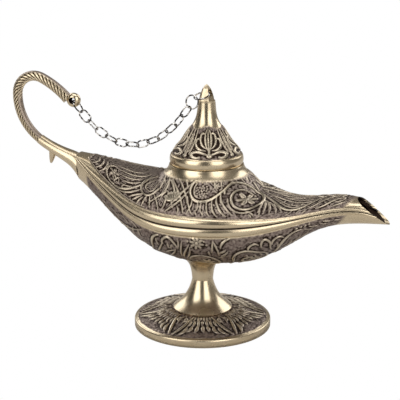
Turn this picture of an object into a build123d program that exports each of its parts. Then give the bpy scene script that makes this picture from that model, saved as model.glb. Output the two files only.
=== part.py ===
from build123d import *
import math
import os

# A genie oil lamp of antiqued cast brass, in millimetres.
# The origin lies under the middle of the foot, on the stem's axis.
# +X runs to the spout, +Z is up and -Y is the side that the chain hangs towards.

os.makedirs("parts", exist_ok=True)

# Foot disc, hollow underneath
FOOT_RADIUS = 38.0
FOOT_RIM_HEIGHT = 4.3
FOOT_TOP = 9.4
FOOT_WALL = 2.0
FOOT_RING_WIDTH = 3.6
FOOT_EDGE_ROUND = 0.9
FOOT_SLOPE_SHARES = [(0.93, 0.10), (0.66, 0.38), (0.30, 0.82)]

# Pedestal cone that stands on the foot disc
CONE_FOOT_RADIUS = 16.4
CONE_LIP = 0.9
CONE_TOP_RADIUS = 5.75
CONE_HEIGHT = 17.0
CONE_WALL = 1.9
CONE_FLARE_SHARES = [(0.83, 0.10), (0.51, 0.29), (0.30, 0.48), (0.15, 0.68)]

# Stem cast on the lower shell, with a spigot that centres it in the cone
STEM_RADIUS = 5.75
STEM_TOP_RADIUS = 14.0
STEM_FLARE_SHARES = [(0.04, 0.20), (0.15, 0.52), (0.26, 0.66), (0.52, 0.84)]
SPIGOT_RADIUS = 3.6
SPIGOT_LENGTH = 2.6
SPIGOT_CLEARANCE = 0.1

# Foot screw and washer
SCREW_RADIUS = 2.0
SCREW_GRIP = 8.0
SCREW_CLEARANCE = 0.3
THREAD_CLEARANCE = 0.05
SCREW_HEAD_RADIUS = 3.9
SCREW_HEAD_HEIGHT = 2.2
SCREW_SLOT_WIDTH = 1.0
SCREW_SLOT_DEPTH = 1.1
WASHER_RADIUS = 6.0
WASHER_THICKNESS = 0.9

# Boat-shaped body, split along a seam that rises to the tail
BODY_LENGTH = 173.0
BODY_BEHIND_STEM = 71.0
BODY_HALF_WIDTH = 36.5
BODY_BOTTOM = 39.4
BODY_HEIGHT = 54.3
BODY_WALL = 2.0
WALL_LIMIT_SHARE = 0.3
SEAM_GAP = 0.3
BAND_BULGE_SHARE = 0.17
BAND_INSET_SHARE = 0.12
UPPER_BAND_SHARE = 0.27
LOWER_BAND_SHARE = 0.18
CAVITY_START_SHARE = 0.085

# Body stations: place along the length, half width, crest, seam and keel heights
BODY_STATION_SHARES = [
    (0.000, 0.150, 1.000, 0.975, 0.720),
    (0.064, 0.315, 0.972, 0.818, 0.560),
    (0.139, 0.520, 0.915, 0.676, 0.365),
    (0.214, 0.726, 0.866, 0.565, 0.200),
    (0.295, 0.890, 0.843, 0.506, 0.065),
    (0.410, 1.000, 0.838, 0.492, 0.000),
    (0.526, 0.945, 0.800, 0.497, 0.004),
    (0.618, 0.767, 0.726, 0.508, 0.080),
    (0.700, 0.560, 0.660, 0.538, 0.220),
    (0.780, 0.397, 0.692, 0.586, 0.380),
    (0.861, 0.274, 0.727, 0.624, 0.455),
    (0.931, 0.205, 0.716, 0.610, 0.474),
    (1.000, 0.110, 0.700, 0.534, 0.480),
    (1.040, 0.060, 0.690, 0.512, 0.488),
]

# Slanted mouth at the end of the spout
MOUTH_APEX_SHARE = 0.903
MOUTH_APEX_HEIGHT = 78.3
MOUTH_ANGLE = 37.5

# Neck on the upper shell, and the round shoulder below it
NECK_X = 2.2
NECK_TOP = 92.4
NECK_RADIUS = 20.2
NECK_BORE_RADIUS = 17.8
SHOULDER_INSET = 1.3
SHOULDER_RADIUS = BODY_HALF_WIDTH - SHOULDER_INSET
SHOULDER_BOTTOM = 71.5
NECK_BORE_RISE = 6.9
SHOULDER_SHARES = [(0.05, 0.10), (0.21, 0.25), (0.56, 0.50), (0.85, 0.76)]

# Lid, a hollow bell with a plug skirt
LID_SEAT_GAP = 0.2
LID_BAND_RADIUS = 19.4
LID_BAND_HEIGHT = 5.2
LID_BAND_BULGE = 0.6
LID_STEP = 0.7
LID_TOP_RADIUS = 4.75
LID_HEIGHT = 33.2
LID_WALL = 1.6
LID_SIDE_SHARES = [(0.94, 0.06), (0.81, 0.15), (0.64, 0.25), (0.47, 0.38), (0.31, 0.50),
                   (0.19, 0.59), (0.10, 0.68), (0.03, 0.83)]
SKIRT_CLEARANCE = 0.35
SKIRT_WALL = 1.5
SKIRT_DEPTH = 6.0

# Pierced finial, screwed on the lid by a stud
FINIAL_HEIGHT = 9.6
FINIAL_COLLAR_RADIUS = 4.6
FINIAL_COLLAR_HEIGHT = 1.0
FINIAL_SIDES = 6
FINIAL_SHARES = [(0.92, 0.0), (0.85, 0.24), (0.68, 0.52), (0.48, 0.75), (0.24, 0.92), (0.04, 1.0)]
FINIAL_HOLE_RADIUS = 1.7
FINIAL_HOLE_HEIGHT = 5.2
FINIAL_HOLE_TURN = -31.0
STUD_RADIUS = 1.5
STUD_LENGTH = 2.8
STUD_CLEARANCE = 0.05

# Handle root, a cast socket piece on the body's tail
ROOT_LENGTH = 23.0
ROOT_RISE = 14.0
ROOT_TAIL_HALF_HEIGHT = 6.9
ROOT_TAIL_HALF_WIDTH = 5.2
ROOT_TAIL_HEIGHT = 86.1
ROOT_END_RADIUS = 2.75
ROOT_END_TILT = 55.0
ROOT_STATION_SHARES = [(0.13, 0.22, 0.55, 0.72, 0.25), (0.32, 0.40, 0.27, 0.45, 0.50),
                       (0.60, 0.62, 0.10, 0.20, 0.78)]
TANG_RADIUS = 2.2
TANG_LENGTH = 7.0
TANG_CLEARANCE = 0.1
TANG_TILT = 30.0
SPUR_LENGTH = 6.2
SPUR_BASE_RADIUS = 2.7
SPUR_TIP_RADIUS = 0.4
SPUR_PLACE_SHARE = 0.66
SPUR_TILT = -12.0

# Fluted handle bar: tangent arcs from the root up and over to the knob
BAR_LOWER_RADIUS = 29.3
BAR_LOWER_TURN = 59.0
BAR_TOP_RADIUS = 10.2
BAR_TOP_TURN = 112.0
BAR_END_RADIUS = 50.0
BAR_END_TURN = 21.5
BAR_FOOT_THICKNESS = 5.0
BAR_HEAD_THICKNESS = 5.9
BAR_FLUTES = 8
BAR_FLUTE_DEPTH = 0.5
BAR_FOOT_LEAD = 15.0
BAR_HEAD_LEAD = 21.0
BAR_STATION_PITCH = 1.15
BAR_PIN_RADIUS = 1.2
BAR_PIN_LENGTH = 4.0
BAR_PIN_CLEARANCE = 0.1

# Knob at the end of the bar, flattened where its cross hole goes through
KNOB_RADIUS = 4.0
KNOB_THICKNESS = 5.2
KNOB_HOLE_RADIUS = 1.9
KNOB_SEAT = 2.5
KNOB_RAISE = 2.3

# Chain: a ring at each end, oval links, and one round ring before the finial
WIRE_DIAMETER = 0.8
WIRE_SIDES = 6
WIRE_GAP = 0.15
OPEN_PIVOT_PLAY = 0.2
NEAR_RING_PLAY = 0.25
LINK_COUNT = 12
OPEN_PIVOT_LINK = LINK_COUNT // 2 + 1
LINK_LENGTH = 8.15
LINK_WIDTH = 5.2
KNOB_RING_DIAMETER = 8.8
KNOB_RING_OFFSET = 4.2
NEAR_RING_DIAMETER = 8.4
NEAR_RING_TWIST = -75.0
FINIAL_RING_DIAMETER = 9.2
FINIAL_RING_OFFSET = 3.95
FINIAL_RING_DROOP = 20.0
FINIAL_RING_HANG = 135.0
LINK_TWIST = 45.0
FIRST_LINK_TWIST_SHARE = 1.45
LOOP_BEND_STEPS = 6
BISECTION_STEPS = 60
LEAST_SAG_SHARE = 0.01
MOST_SAG_SHARE = 10

# Raised mouldings of the ornament, with their roots sunk in the wall that carries them
MOULDING_HEIGHT = 0.6
MOULDING_HALF_WIDTH = 0.85
MOULDING_ROOT = 0.5
MOULDING_PITCH = 4.0
MOULDING_END_SHARE = 0.4
CURVE_STEPS = 60
SIDE_STEPS = 40

# Their places on the metal as on a flat sheet, in shares of the sheet's span
SHEET_SPAN = 100.0

# Scrolls on the shells: along the lamp from the stem's axis, and away from the seam band
UPPER_SCROLL_SHARES = [
    [(0.066, 0.204), (0.042, 0.226), (0.012, 0.204), (0.004, 0.162), (0.016, 0.124), (0.044, 0.102),
     (0.110, 0.112), (0.176, 0.188), (0.204, 0.236)],
    [(0.189, 0.212), (0.256, 0.260), (0.340, 0.226), (0.360, 0.136), (0.304, 0.072), (0.234, 0.104),
     (0.228, 0.186), (0.294, 0.212)],
    [(0.344, 0.242), (0.424, 0.142), (0.502, 0.064), (0.580, 0.090), (0.614, 0.168)],
    [(-0.132, 0.206), (-0.134, 0.160), (-0.158, 0.106), (-0.196, 0.060)],
    [(-0.635, 0.082), (-0.530, 0.056), (-0.414, 0.090), (-0.338, 0.184), (-0.334, 0.244)],
    [(-0.410, 0.056), (-0.304, 0.128), (-0.264, 0.236), (-0.256, 0.310)],
]
LOWER_SCROLL_SHARES = [
    [(0.224, 0.224), (0.254, 0.122), (0.330, 0.112), (0.382, 0.146), (0.394, 0.204), (0.360, 0.264),
     (0.304, 0.276)],
    [(0.426, 0.194), (0.460, 0.132), (0.496, 0.074), (0.576, 0.042)],
    [(-0.156, 0.019), (-0.200, 0.080), (-0.218, 0.204), (-0.190, 0.274), (-0.130, 0.310)],
    [(-0.260, 0.030), (-0.320, 0.062), (-0.390, 0.088), (-0.470, 0.094), (-0.560, 0.080)],
]

# Leaves round the lid, up from its band, and round the foot, in from its rim
LID_LEAVES = 4
LID_LEAF_TURN = -71.0
LID_LEAF_RADIUS = 14.3
LID_RIB_SHARES = [(0.0, 0.021), (0.0, 0.100), (0.0, 0.183)]
LID_LEAF_SHARES = [
    [(0.012, 0.069), (0.034, 0.087), (0.049, 0.119), (0.046, 0.153)],
    [(0.093, 0.031), (0.088, 0.091), (0.089, 0.180)],
]
FOOT_LEAVES = 6
FOOT_LEAF_TURN = -75.0
FOOT_LEAF_RADIUS = 24.1
FOOT_RIB_SHARES = [(0.0, 0.075), (0.0, 0.140), (0.0, 0.202)]
FOOT_LEAF_SHARES = [
    [(0.044, 0.202), (0.064, 0.153), (0.090, 0.096), (0.119, 0.036)],
]

# One overrun serves every cut
OVERRUN = 3.0

# Heights that follow from the sizes above
CONE_TOP = FOOT_TOP + CONE_HEIGHT
BODY_CREST = BODY_BOTTOM + BODY_HEIGHT
LID_BOTTOM = NECK_TOP + LID_SEAT_GAP
LID_TOP = LID_BOTTOM + LID_HEIGHT
FINIAL_HOLE_Z = LID_TOP + FINIAL_HOLE_HEIGHT


def section_point(radius, height):
    """A point of a turned outline, in the XZ plane."""
    return (radius, 0, height)


def mixed(start, end, share):
    """The value that lies at a share of the way from start to end."""
    return start + (end - start) * share


def turned(*lines):
    """Turns the closed outline made by these lines about Z."""
    edges = [edge for line in lines for edge in line.edges()]
    return revolve(Face(Wire(edges)), Axis.Z)


def upright_cylinder(radius, bottom, top, x=0):
    """A plain cylinder on a vertical axis."""
    rod = Cylinder(radius, top - bottom, align=(Align.CENTER, Align.CENTER, Align.MIN))
    return Pos(x, 0, bottom) * rod


# Foot, cone and screw

def foot_slope(inset):
    """Points of the foot's top from the rim to the cone, or of its underside when inset."""
    rim, land = FOOT_RADIUS - FOOT_EDGE_ROUND, CONE_FOOT_RADIUS
    points = [(rim, FOOT_RIM_HEIGHT)]
    points += [(mixed(land, rim, out), mixed(FOOT_RIM_HEIGHT, FOOT_TOP, up)) for out, up in FOOT_SLOPE_SHARES]
    points += [(land, FOOT_TOP)]
    return [section_point(radius, height - inset) for radius, height in points]


def make_foot_disc():
    slope = foot_slope(0)
    edge_start = section_point(FOOT_RADIUS, FOOT_RIM_HEIGHT - FOOT_EDGE_ROUND)
    edge_middle = section_point(FOOT_RADIUS - FOOT_EDGE_ROUND * (1 - math.sqrt(1 / 2)),
                                FOOT_RIM_HEIGHT - FOOT_EDGE_ROUND * (1 - math.sqrt(1 / 2)))
    ring_inside = FOOT_RADIUS - FOOT_RING_WIDTH
    under = [point for point in foot_slope(FOOT_WALL) if point[0] < ring_inside]
    hole = SCREW_RADIUS + SCREW_CLEARANCE
    disc = turned(
        Polyline(section_point(ring_inside, 0), section_point(FOOT_RADIUS, 0), edge_start),
        ThreePointArc(edge_start, edge_middle, slope[0]),
        Spline(*slope),
        Polyline(slope[-1], section_point(hole, FOOT_TOP), section_point(hole, FOOT_TOP - FOOT_WALL), under[-1]),
        Spline(*reversed(under)),
        Polyline(under[0], section_point(ring_inside, under[0][2]), section_point(ring_inside, 0)),
    )
    return disc + leaves(slope, FOOT_LEAF_RADIUS, FOOT_LEAVES, FOOT_LEAF_TURN, FOOT_RIB_SHARES, FOOT_LEAF_SHARES)


def make_pedestal_cone():
    flare = [(mixed(CONE_TOP_RADIUS, CONE_FOOT_RADIUS, out), mixed(FOOT_TOP + CONE_LIP, CONE_TOP, up))
             for out, up in CONE_FLARE_SHARES]
    outside = [section_point(CONE_FOOT_RADIUS, FOOT_TOP + CONE_LIP)]
    outside += [section_point(radius, height) for radius, height in flare]
    outside += [section_point(CONE_TOP_RADIUS, CONE_TOP)]
    bore = SPIGOT_RADIUS + SPIGOT_CLEARANCE
    inside = [section_point(bore, CONE_TOP)]
    inside += [section_point(max(bore, radius - CONE_WALL), height) for radius, height in reversed(flare[:2])]
    inside += [section_point(CONE_FOOT_RADIUS - CONE_WALL, FOOT_TOP)]
    return turned(
        Polyline(section_point(CONE_FOOT_RADIUS, FOOT_TOP), outside[0]),
        Spline(*outside),
        Polyline(outside[-1], *inside, section_point(CONE_FOOT_RADIUS, FOOT_TOP)),
    )


def make_foot_washer():
    top = FOOT_TOP - FOOT_WALL
    bottom = top - WASHER_THICKNESS
    return (upright_cylinder(WASHER_RADIUS, bottom, top)
            - upright_cylinder(SCREW_RADIUS + SCREW_CLEARANCE, bottom - OVERRUN, top + OVERRUN))


def make_foot_screw():
    head_top = FOOT_TOP - FOOT_WALL - WASHER_THICKNESS
    head_bottom = head_top - SCREW_HEAD_HEIGHT
    head = fillet(upright_cylinder(SCREW_HEAD_RADIUS, head_bottom, head_top).edges().sort_by(Axis.Z)[0],
                  SCREW_HEAD_HEIGHT / 2)
    slot = Pos(0, 0, head_bottom) * Box(SCREW_HEAD_RADIUS * 2 + OVERRUN, SCREW_SLOT_WIDTH, SCREW_SLOT_DEPTH * 2)
    return head - slot + upright_cylinder(SCREW_RADIUS, head_top, CONE_TOP + SCREW_GRIP)


# Body shells

def body_x(share):
    return BODY_LENGTH * share - BODY_BEHIND_STEM


def body_z(share):
    return BODY_BOTTOM + BODY_HEIGHT * share


def station_plane(x, z):
    """The plane across the body at x, with its own X along +Y and its own Y along +Z."""
    return Plane(origin=(x, 0, z), x_dir=(0, 1, 0), z_dir=(1, 0, 0))


def shell_section(x, seam, half_width, height, band, up):
    """One cross section of a shell: the seam line, a bulging band and an elliptical side."""
    inner, gap = half_width - band * BAND_INSET_SHARE, up * SEAM_GAP / 2
    right = [(half_width, gap), (half_width + band * BAND_BULGE_SHARE, up * band / 2), (inner, up * band)]
    left = [(-across, rise) for across, rise in right]
    crest = (0, up * height)
    quarter = math.sqrt(1 / 2)
    side = (inner * quarter, up * (band + (height - band) * quarter))
    outline = [
        Line(left[0], right[0]),
        ThreePointArc(*right),
        quarter_ellipse(right[2], side, crest),
        quarter_ellipse(left[2], (-side[0], side[1]), crest),
        ThreePointArc(*left),
    ]
    edges = [edge for line in outline for edge in line.edges()]
    return station_plane(x, seam) * Face(Wire(edges))


def quarter_ellipse(start, middle, crest):
    """A quarter of an ellipse from the side, upright at the start, to the crest, level at the end."""
    rise = 1 if crest[1] > start[1] else -1
    return Spline(start, middle, crest, tangents=[(0, rise), (-math.copysign(1, start[0]), 0)])


def station_sizes(shares):
    """Place, half width, crest, seam and keel of one body station, in real sizes."""
    along, width, crest, seam, keel = shares
    return body_x(along), BODY_HALF_WIDTH * width, body_z(crest), body_z(seam), body_z(keel)


def make_cavity():
    """The hollow of both shells together, open through the spout."""
    sections = []
    for shares in BODY_STATION_SHARES[1:]:
        x, half_width, crest, seam, keel = station_sizes(shares)
        wall = min(BODY_WALL, half_width * WALL_LIMIT_SHARE)
        side, top, bottom = half_width - wall, crest - wall - seam, keel + wall - seam
        x = max(x, body_x(CAVITY_START_SHARE))
        quarter = math.sqrt(1 / 2)
        outline = [quarter_ellipse((across, 0), (across * quarter, rise * quarter), (0, rise))
                   for rise in (top, bottom) for across in (side, -side)]
        edges = [edge for line in outline for edge in line.edges()]
        sections.append(station_plane(x, seam) * Face(Wire(edges)))
    return loft(sections)


def mouth_plane():
    """The slanted cut of the spout's mouth, facing out of the spout."""
    tilt = math.radians(MOUTH_ANGLE)
    apex = (body_x(MOUTH_APEX_SHARE), 0, MOUTH_APEX_HEIGHT)
    return Plane(origin=apex, x_dir=(0, 1, 0), z_dir=(math.sin(tilt), 0, math.cos(tilt)))


def make_shell_blank(up, band_share):
    sections = []
    for shares in BODY_STATION_SHARES:
        x, half_width, crest, seam, keel = station_sizes(shares)
        height = crest - seam if up > 0 else seam - keel
        sections.append(shell_section(x, seam, half_width, height, height * band_share, up))
    return split(loft(sections), bisect_by=mouth_plane(), keep=Keep.BOTTOM)


def shoulder_outline():
    shares = [(0, 0), *SHOULDER_SHARES, (1, 1)]
    return [section_point(mixed(NECK_RADIUS, SHOULDER_RADIUS, out), mixed(NECK_TOP, SHOULDER_BOTTOM, down))
            for out, down in shares]


def make_shoulder():
    """The round shoulder that flares from the neck down to the seam band."""
    outline = shoulder_outline()
    return Pos(NECK_X, 0, 0) * turned(
        Spline(*outline),
        Polyline(outline[-1], section_point(0, SHOULDER_BOTTOM), section_point(0, NECK_TOP), outline[0]),
    )


def tang_hole(clearance):
    """The handle's round tang, or the hole for it, slanting into the body's tail."""
    tang = Cylinder(TANG_RADIUS + clearance, TANG_LENGTH + clearance,
                    align=(Align.CENTER, Align.CENTER, Align.MIN))
    return Pos(-BODY_BEHIND_STEM, 0, ROOT_TAIL_HEIGHT) * Rot(0, 90 + TANG_TILT, 0) * tang


def make_upper_shell(cavity):
    shell = make_shell_blank(1, UPPER_BAND_SHARE) + make_shoulder() - cavity
    bore = upright_cylinder(NECK_BORE_RADIUS, SHOULDER_BOTTOM + NECK_BORE_RISE, NECK_TOP + OVERRUN, NECK_X)
    return shell - bore + scrolls(UPPER_SCROLL_SHARES, 1, UPPER_BAND_SHARE)


def make_lower_shell(cavity):
    stem_height = BODY_BOTTOM + BODY_WALL / 2 - CONE_TOP
    flare = [section_point(mixed(STEM_RADIUS, STEM_TOP_RADIUS, out), CONE_TOP + stem_height * up)
             for out, up in STEM_FLARE_SHARES]
    bottom, top = section_point(STEM_RADIUS, CONE_TOP), section_point(STEM_TOP_RADIUS, CONE_TOP + stem_height)
    stem = turned(
        Spline(bottom, *flare, top),
        Polyline(top, section_point(0, top[2]), section_point(0, CONE_TOP - SPIGOT_LENGTH),
                 section_point(SPIGOT_RADIUS, CONE_TOP - SPIGOT_LENGTH), section_point(SPIGOT_RADIUS, CONE_TOP),
                 bottom),
    )
    hole = upright_cylinder(SCREW_RADIUS + THREAD_CLEARANCE, CONE_TOP - SPIGOT_LENGTH - OVERRUN,
                            CONE_TOP + SCREW_GRIP + THREAD_CLEARANCE)
    shell = make_shell_blank(-1, LOWER_BAND_SHARE) + stem - cavity - hole - tang_hole(TANG_CLEARANCE)
    return shell + scrolls(LOWER_SCROLL_SHARES, -1, LOWER_BAND_SHARE)


# Lid and finial

def lid_outline():
    """Points of the bell's side from its band to its flat top."""
    shares = [(1, 0), *LID_SIDE_SHARES, (0, 1)]
    return [section_point(mixed(LID_TOP_RADIUS, LID_BAND_RADIUS - LID_STEP, out),
                          mixed(LID_BOTTOM + LID_BAND_HEIGHT, LID_TOP, up)) for out, up in shares]


def make_lid():
    band_top = LID_BOTTOM + LID_BAND_HEIGHT
    outside = lid_outline()
    skirt = NECK_BORE_RADIUS - SKIRT_CLEARANCE
    skirt_inside = skirt - SKIRT_WALL
    inside = [section_point(0, outside[-3][2])]
    inside += [section_point(radius - LID_WALL, height - LID_WALL) for radius, _, height in reversed(outside[2:-2])]
    inside += [section_point(skirt_inside, LID_BOTTOM + LID_WALL)]
    stud = STUD_RADIUS + STUD_CLEARANCE
    bell = turned(
        Polyline(section_point(LID_BAND_RADIUS, LID_BOTTOM), section_point(skirt, LID_BOTTOM),
                 section_point(skirt, LID_BOTTOM - SKIRT_DEPTH), section_point(skirt_inside, LID_BOTTOM - SKIRT_DEPTH),
                 *reversed(inside), section_point(0, LID_TOP), outside[-1]),
        Spline(*reversed(outside)),
        Polyline(outside[0], section_point(LID_BAND_RADIUS, band_top)),
        ThreePointArc(section_point(LID_BAND_RADIUS, band_top),
                      section_point(LID_BAND_RADIUS + LID_BAND_BULGE, LID_BOTTOM + LID_BAND_HEIGHT / 2),
                      section_point(LID_BAND_RADIUS, LID_BOTTOM)),
    )
    hole = upright_cylinder(stud, LID_TOP - STUD_LENGTH - STUD_CLEARANCE, LID_TOP + OVERRUN)
    return Pos(NECK_X, 0, 0) * (bell - hole + leaves(outside, LID_LEAF_RADIUS, LID_LEAVES, LID_LEAF_TURN,
                                                     LID_RIB_SHARES, LID_LEAF_SHARES))


def finial_hole_axis():
    turn = math.radians(FINIAL_HOLE_TURN)
    return Vector(math.cos(turn), math.sin(turn), 0)


def make_finial():
    """A six-sided pointed cap on a round collar, pierced for the chain's ring."""
    rings = []
    for out, up in FINIAL_SHARES:
        radius = FINIAL_COLLAR_RADIUS * out
        height = mixed(FINIAL_COLLAR_HEIGHT, FINIAL_HEIGHT, up)
        turns = [math.radians(FINIAL_HOLE_TURN + (side + 1 / 2) * 360 / FINIAL_SIDES) for side in range(FINIAL_SIDES)]
        rings.append([Vector(radius * math.cos(turn), radius * math.sin(turn), height) for turn in turns])
    collar = upright_cylinder(FINIAL_COLLAR_RADIUS, 0, FINIAL_COLLAR_HEIGHT)
    stud = upright_cylinder(STUD_RADIUS, -STUD_LENGTH, 0)
    hole = Pos(0, 0, FINIAL_HOLE_HEIGHT) * Rot(0, 0, FINIAL_HOLE_TURN) * Rot(0, 90, 0) * Cylinder(
        FINIAL_HOLE_RADIUS, FINIAL_COLLAR_RADIUS * 2 + OVERRUN)
    return Pos(NECK_X, 0, LID_TOP) * (skinned(rings) + collar + stud - hole)


# Flat-faced solids

def skinned(rings):
    """A solid skinned over rings of as many points each, with flat triangles and flat ends."""
    faces = [flat_face(reversed(rings[0])), flat_face(rings[-1])]
    for lower, upper in zip(rings, rings[1:]):
        for side in range(len(lower)):
            following = (side + 1) % len(lower)
            faces.append(flat_face([lower[side], lower[following], upper[side]]))
            faces.append(flat_face([lower[following], upper[following], upper[side]]))
    return Solid(Shell(faces))


def flat_face(points):
    return Face(Wire.make_polygon(list(points), close=True))


def wire_loop(centre_line, normal, wire_diameter):
    """A closed flat loop of faceted wire with mitred corners along a flat closed centre line."""
    # A ring of corner points stands at each bend, in the plane that halves the bend.
    reach = wire_diameter / 2
    rings = []
    for before, here, after in zip(centre_line[-1:] + centre_line[:-1], centre_line, centre_line[1:] + centre_line[:1]):
        side_in = (here - before).cross(normal).normalized()
        side_out = (after - here).cross(normal).normalized()
        outward = (side_in + side_out).normalized()
        stretch = reach / outward.dot(side_in)
        turns = [2 * math.pi * (side + 1 / 2) / WIRE_SIDES for side in range(WIRE_SIDES)]
        rings.append([here + outward * (stretch * math.cos(turn)) + normal * (reach * math.sin(turn))
                      for turn in turns])
    faces = []
    for ring, following in zip(rings, rings[1:] + rings[:1]):
        for side in range(WIRE_SIDES):
            beside = (side + 1) % WIRE_SIDES
            faces.append(flat_face([ring[side], ring[beside], following[beside], following[side]]))
    return Solid(Shell(faces))


# Raised mouldings

def sampled(points):
    """A smooth curve through these points as a fine polyline."""
    curve = Spline(*points)
    return [curve.position_at(step / CURVE_STEPS) for step in range(CURVE_STEPS + 1)]


def read_off(line, place):
    """The Y of a polyline at a place along X."""
    beyond = [pair for pair in zip(line, line[1:]) if place <= pair[1].X]
    start, end = beyond[0] if beyond else line[-2:]
    return mixed(start.Y, end.Y, (place - start.X) / (end.X - start.X))


def walked(line, run):
    """The point at a run along a polyline."""
    for start, end in zip(line, line[1:]):
        length = (end - start).length
        if run <= length:
            return start + (end - start) * (run / length)
        run -= length
    return line[-1]


def shell_sheet(up, band_share):
    """A shell's side as a sheet: the point at a place along the lamp and a run from the seam band."""
    stations = [station_sizes(shares) for shares in BODY_STATION_SHARES]
    lines = [sampled([(station[0], size) for station, size in zip(stations, sizes)])
             for sizes in list(zip(*stations))[1:]]
    shoulder = sampled([(radius, height) for radius, _, height in shoulder_outline()])

    def point(place, run):
        half_width, crest, seam, keel = (read_off(line, place) for line in lines)
        height = crest - seam if up > 0 else seam - keel
        band = height * band_share
        inner = half_width - band * BAND_INSET_SHARE
        side = []
        for step in range(SIDE_STEPS + 1):
            turn = math.pi / 2 * step / SIDE_STEPS
            across, level = inner * math.cos(turn), seam + up * mixed(band, height, math.sin(turn))
            radius = max(math.hypot(place - NECK_X, across), NECK_RADIUS)
            if up > 0 and radius < SHOULDER_RADIUS:
                level = max(level, read_off(shoulder, radius))
            side.append(Vector(place, -across, level))
        return walked(side, run)

    return point


def turned_sheet(outline, mean_radius, turn):
    """A turned surface as a sheet: the point at a place round it and a run along its outline."""
    line = sampled(outline)

    def point(around, run):
        here, angle = walked(line, run), math.radians(turn) + around / mean_radius
        return Vector(here.X * math.cos(angle), here.X * math.sin(angle), here.Z)

    return point


def moulding(sheet, path_shares, facing):
    """A low ridge laid along a path on a sheet, thinner at its ends."""
    path = Spline(*[(along * SHEET_SPAN, away * SHEET_SPAN) for along, away in path_shares])
    count = math.ceil(path.length / MOULDING_PITCH)
    rings = []
    for step in range(count + 1):
        here, ahead = path.position_at(step / count), path.tangent_at(step / count) * MOULDING_HALF_WIDTH
        foot = sheet(here.X, here.Y)
        front = sheet(here.X + ahead.X, here.Y + ahead.Y)
        left, right = sheet(here.X - ahead.Y, here.Y + ahead.X), sheet(here.X + ahead.Y, here.Y - ahead.X)
        outward = (front - foot).cross(left - right).normalized() * facing
        size = mixed(MOULDING_END_SHARE, 1, math.sin(math.pi * step / count))
        across = (left - right).normalized() * (MOULDING_HALF_WIDTH * size)
        root = foot - outward * MOULDING_ROOT
        rings.append([root - across, foot + outward * (MOULDING_HEIGHT * size), root + across])
    return skinned(rings)


def scrolls(paths, up, band_share):
    """The scrolls of both sides of a shell."""
    sheet = shell_sheet(up, band_share)
    near = [moulding(sheet, path, up) for path in paths]
    return near + [piece.mirror(Plane.XZ) for piece in near]


def leaves(outline, mean_radius, count, turn, rib, halves):
    """Ribbed leaves set round a turned surface."""
    paths = [rib, *halves, *[[(-around, away) for around, away in half] for half in halves]]
    sheets = [turned_sheet(outline, mean_radius, turn + 360 * leaf / count) for leaf in range(count)]
    return [moulding(sheet, path, 1) for sheet in sheets for path in paths]


# Handle

def root_start():
    """Where the handle's root meets the body's tail."""
    return Vector(-BODY_BEHIND_STEM, 0, ROOT_TAIL_HEIGHT)


def bar_start():
    """Where the fluted bar leaves the root."""
    return root_start() + Vector(-ROOT_LENGTH, 0, ROOT_RISE)


def tilted_plane(centre, tilt):
    """A plane across the handle, tilted back from facing -X by the given angle."""
    turn = math.radians(tilt)
    return Plane(origin=centre, x_dir=(0, 1, 0), z_dir=(-math.cos(turn), 0, math.sin(turn)))


def make_handle_root():
    """A horn that grows from the bar's end to the tail's section, with a thorn below and a tang."""
    start = root_start()
    start_tilt, end_tilt = 0, 90 - ROOT_END_TILT
    sections = [tilted_plane(start, start_tilt) * Ellipse(ROOT_TAIL_HALF_WIDTH, ROOT_TAIL_HALF_HEIGHT)]
    for along, rise, tall, wide, tilt in ROOT_STATION_SHARES:
        centre = start + Vector(-ROOT_LENGTH * along, 0, ROOT_RISE * rise)
        half_height = mixed(ROOT_END_RADIUS, ROOT_TAIL_HALF_HEIGHT, tall)
        half_width = mixed(ROOT_END_RADIUS, ROOT_TAIL_HALF_WIDTH, wide)
        sections.append(tilted_plane(centre, mixed(start_tilt, end_tilt, tilt)) * Ellipse(half_width, half_height))
    sections.append(tilted_plane(bar_start(), end_tilt) * Ellipse(ROOT_END_RADIUS, ROOT_END_RADIUS))
    horn = loft([section.face() for section in sections])
    spur_top = start + Vector(-ROOT_LENGTH, 0, ROOT_RISE) * SPUR_PLACE_SHARE
    spur = Cone(SPUR_BASE_RADIUS, SPUR_TIP_RADIUS, SPUR_LENGTH + ROOT_END_RADIUS,
                align=(Align.CENTER, Align.CENTER, Align.MIN))
    spur = Pos(spur_top) * Rot(0, 180 - SPUR_TILT, 0) * spur
    return horn + spur + tang_hole(0) - bar_pin(BAR_PIN_CLEARANCE)


def bar_arcs():
    return [(BAR_LOWER_RADIUS, BAR_LOWER_TURN), (BAR_TOP_RADIUS, BAR_TOP_TURN), (BAR_END_RADIUS, BAR_END_TURN)]


def bar_heading():
    """Direction of the bar where it leaves the root, in degrees from +X towards +Z."""
    return 90 + ROOT_END_TILT


def bar_length():
    return sum(radius * math.radians(turn) for radius, turn in bar_arcs())


def bar_place(distance):
    """Point and heading on the bar's centre line at a distance from the root."""
    point, heading = bar_start(), math.radians(bar_heading())
    for radius, turn in bar_arcs():
        used = min(distance, radius * math.radians(turn))
        centre = point + Vector(math.sin(heading), 0, -math.cos(heading)) * radius
        heading -= used / radius
        point = centre + Vector(-math.sin(heading), 0, math.cos(heading)) * radius
        distance -= used
    return point, heading


def bar_pin(clearance):
    """The round pin at the bar's foot, or the hole for it in the root."""
    pin = Cylinder(BAR_PIN_RADIUS + clearance, BAR_PIN_LENGTH + clearance,
                   align=(Align.CENTER, Align.CENTER, Align.MIN))
    return Pos(bar_start()) * Rot(0, 90 - bar_heading() + 180, 0) * pin


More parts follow.
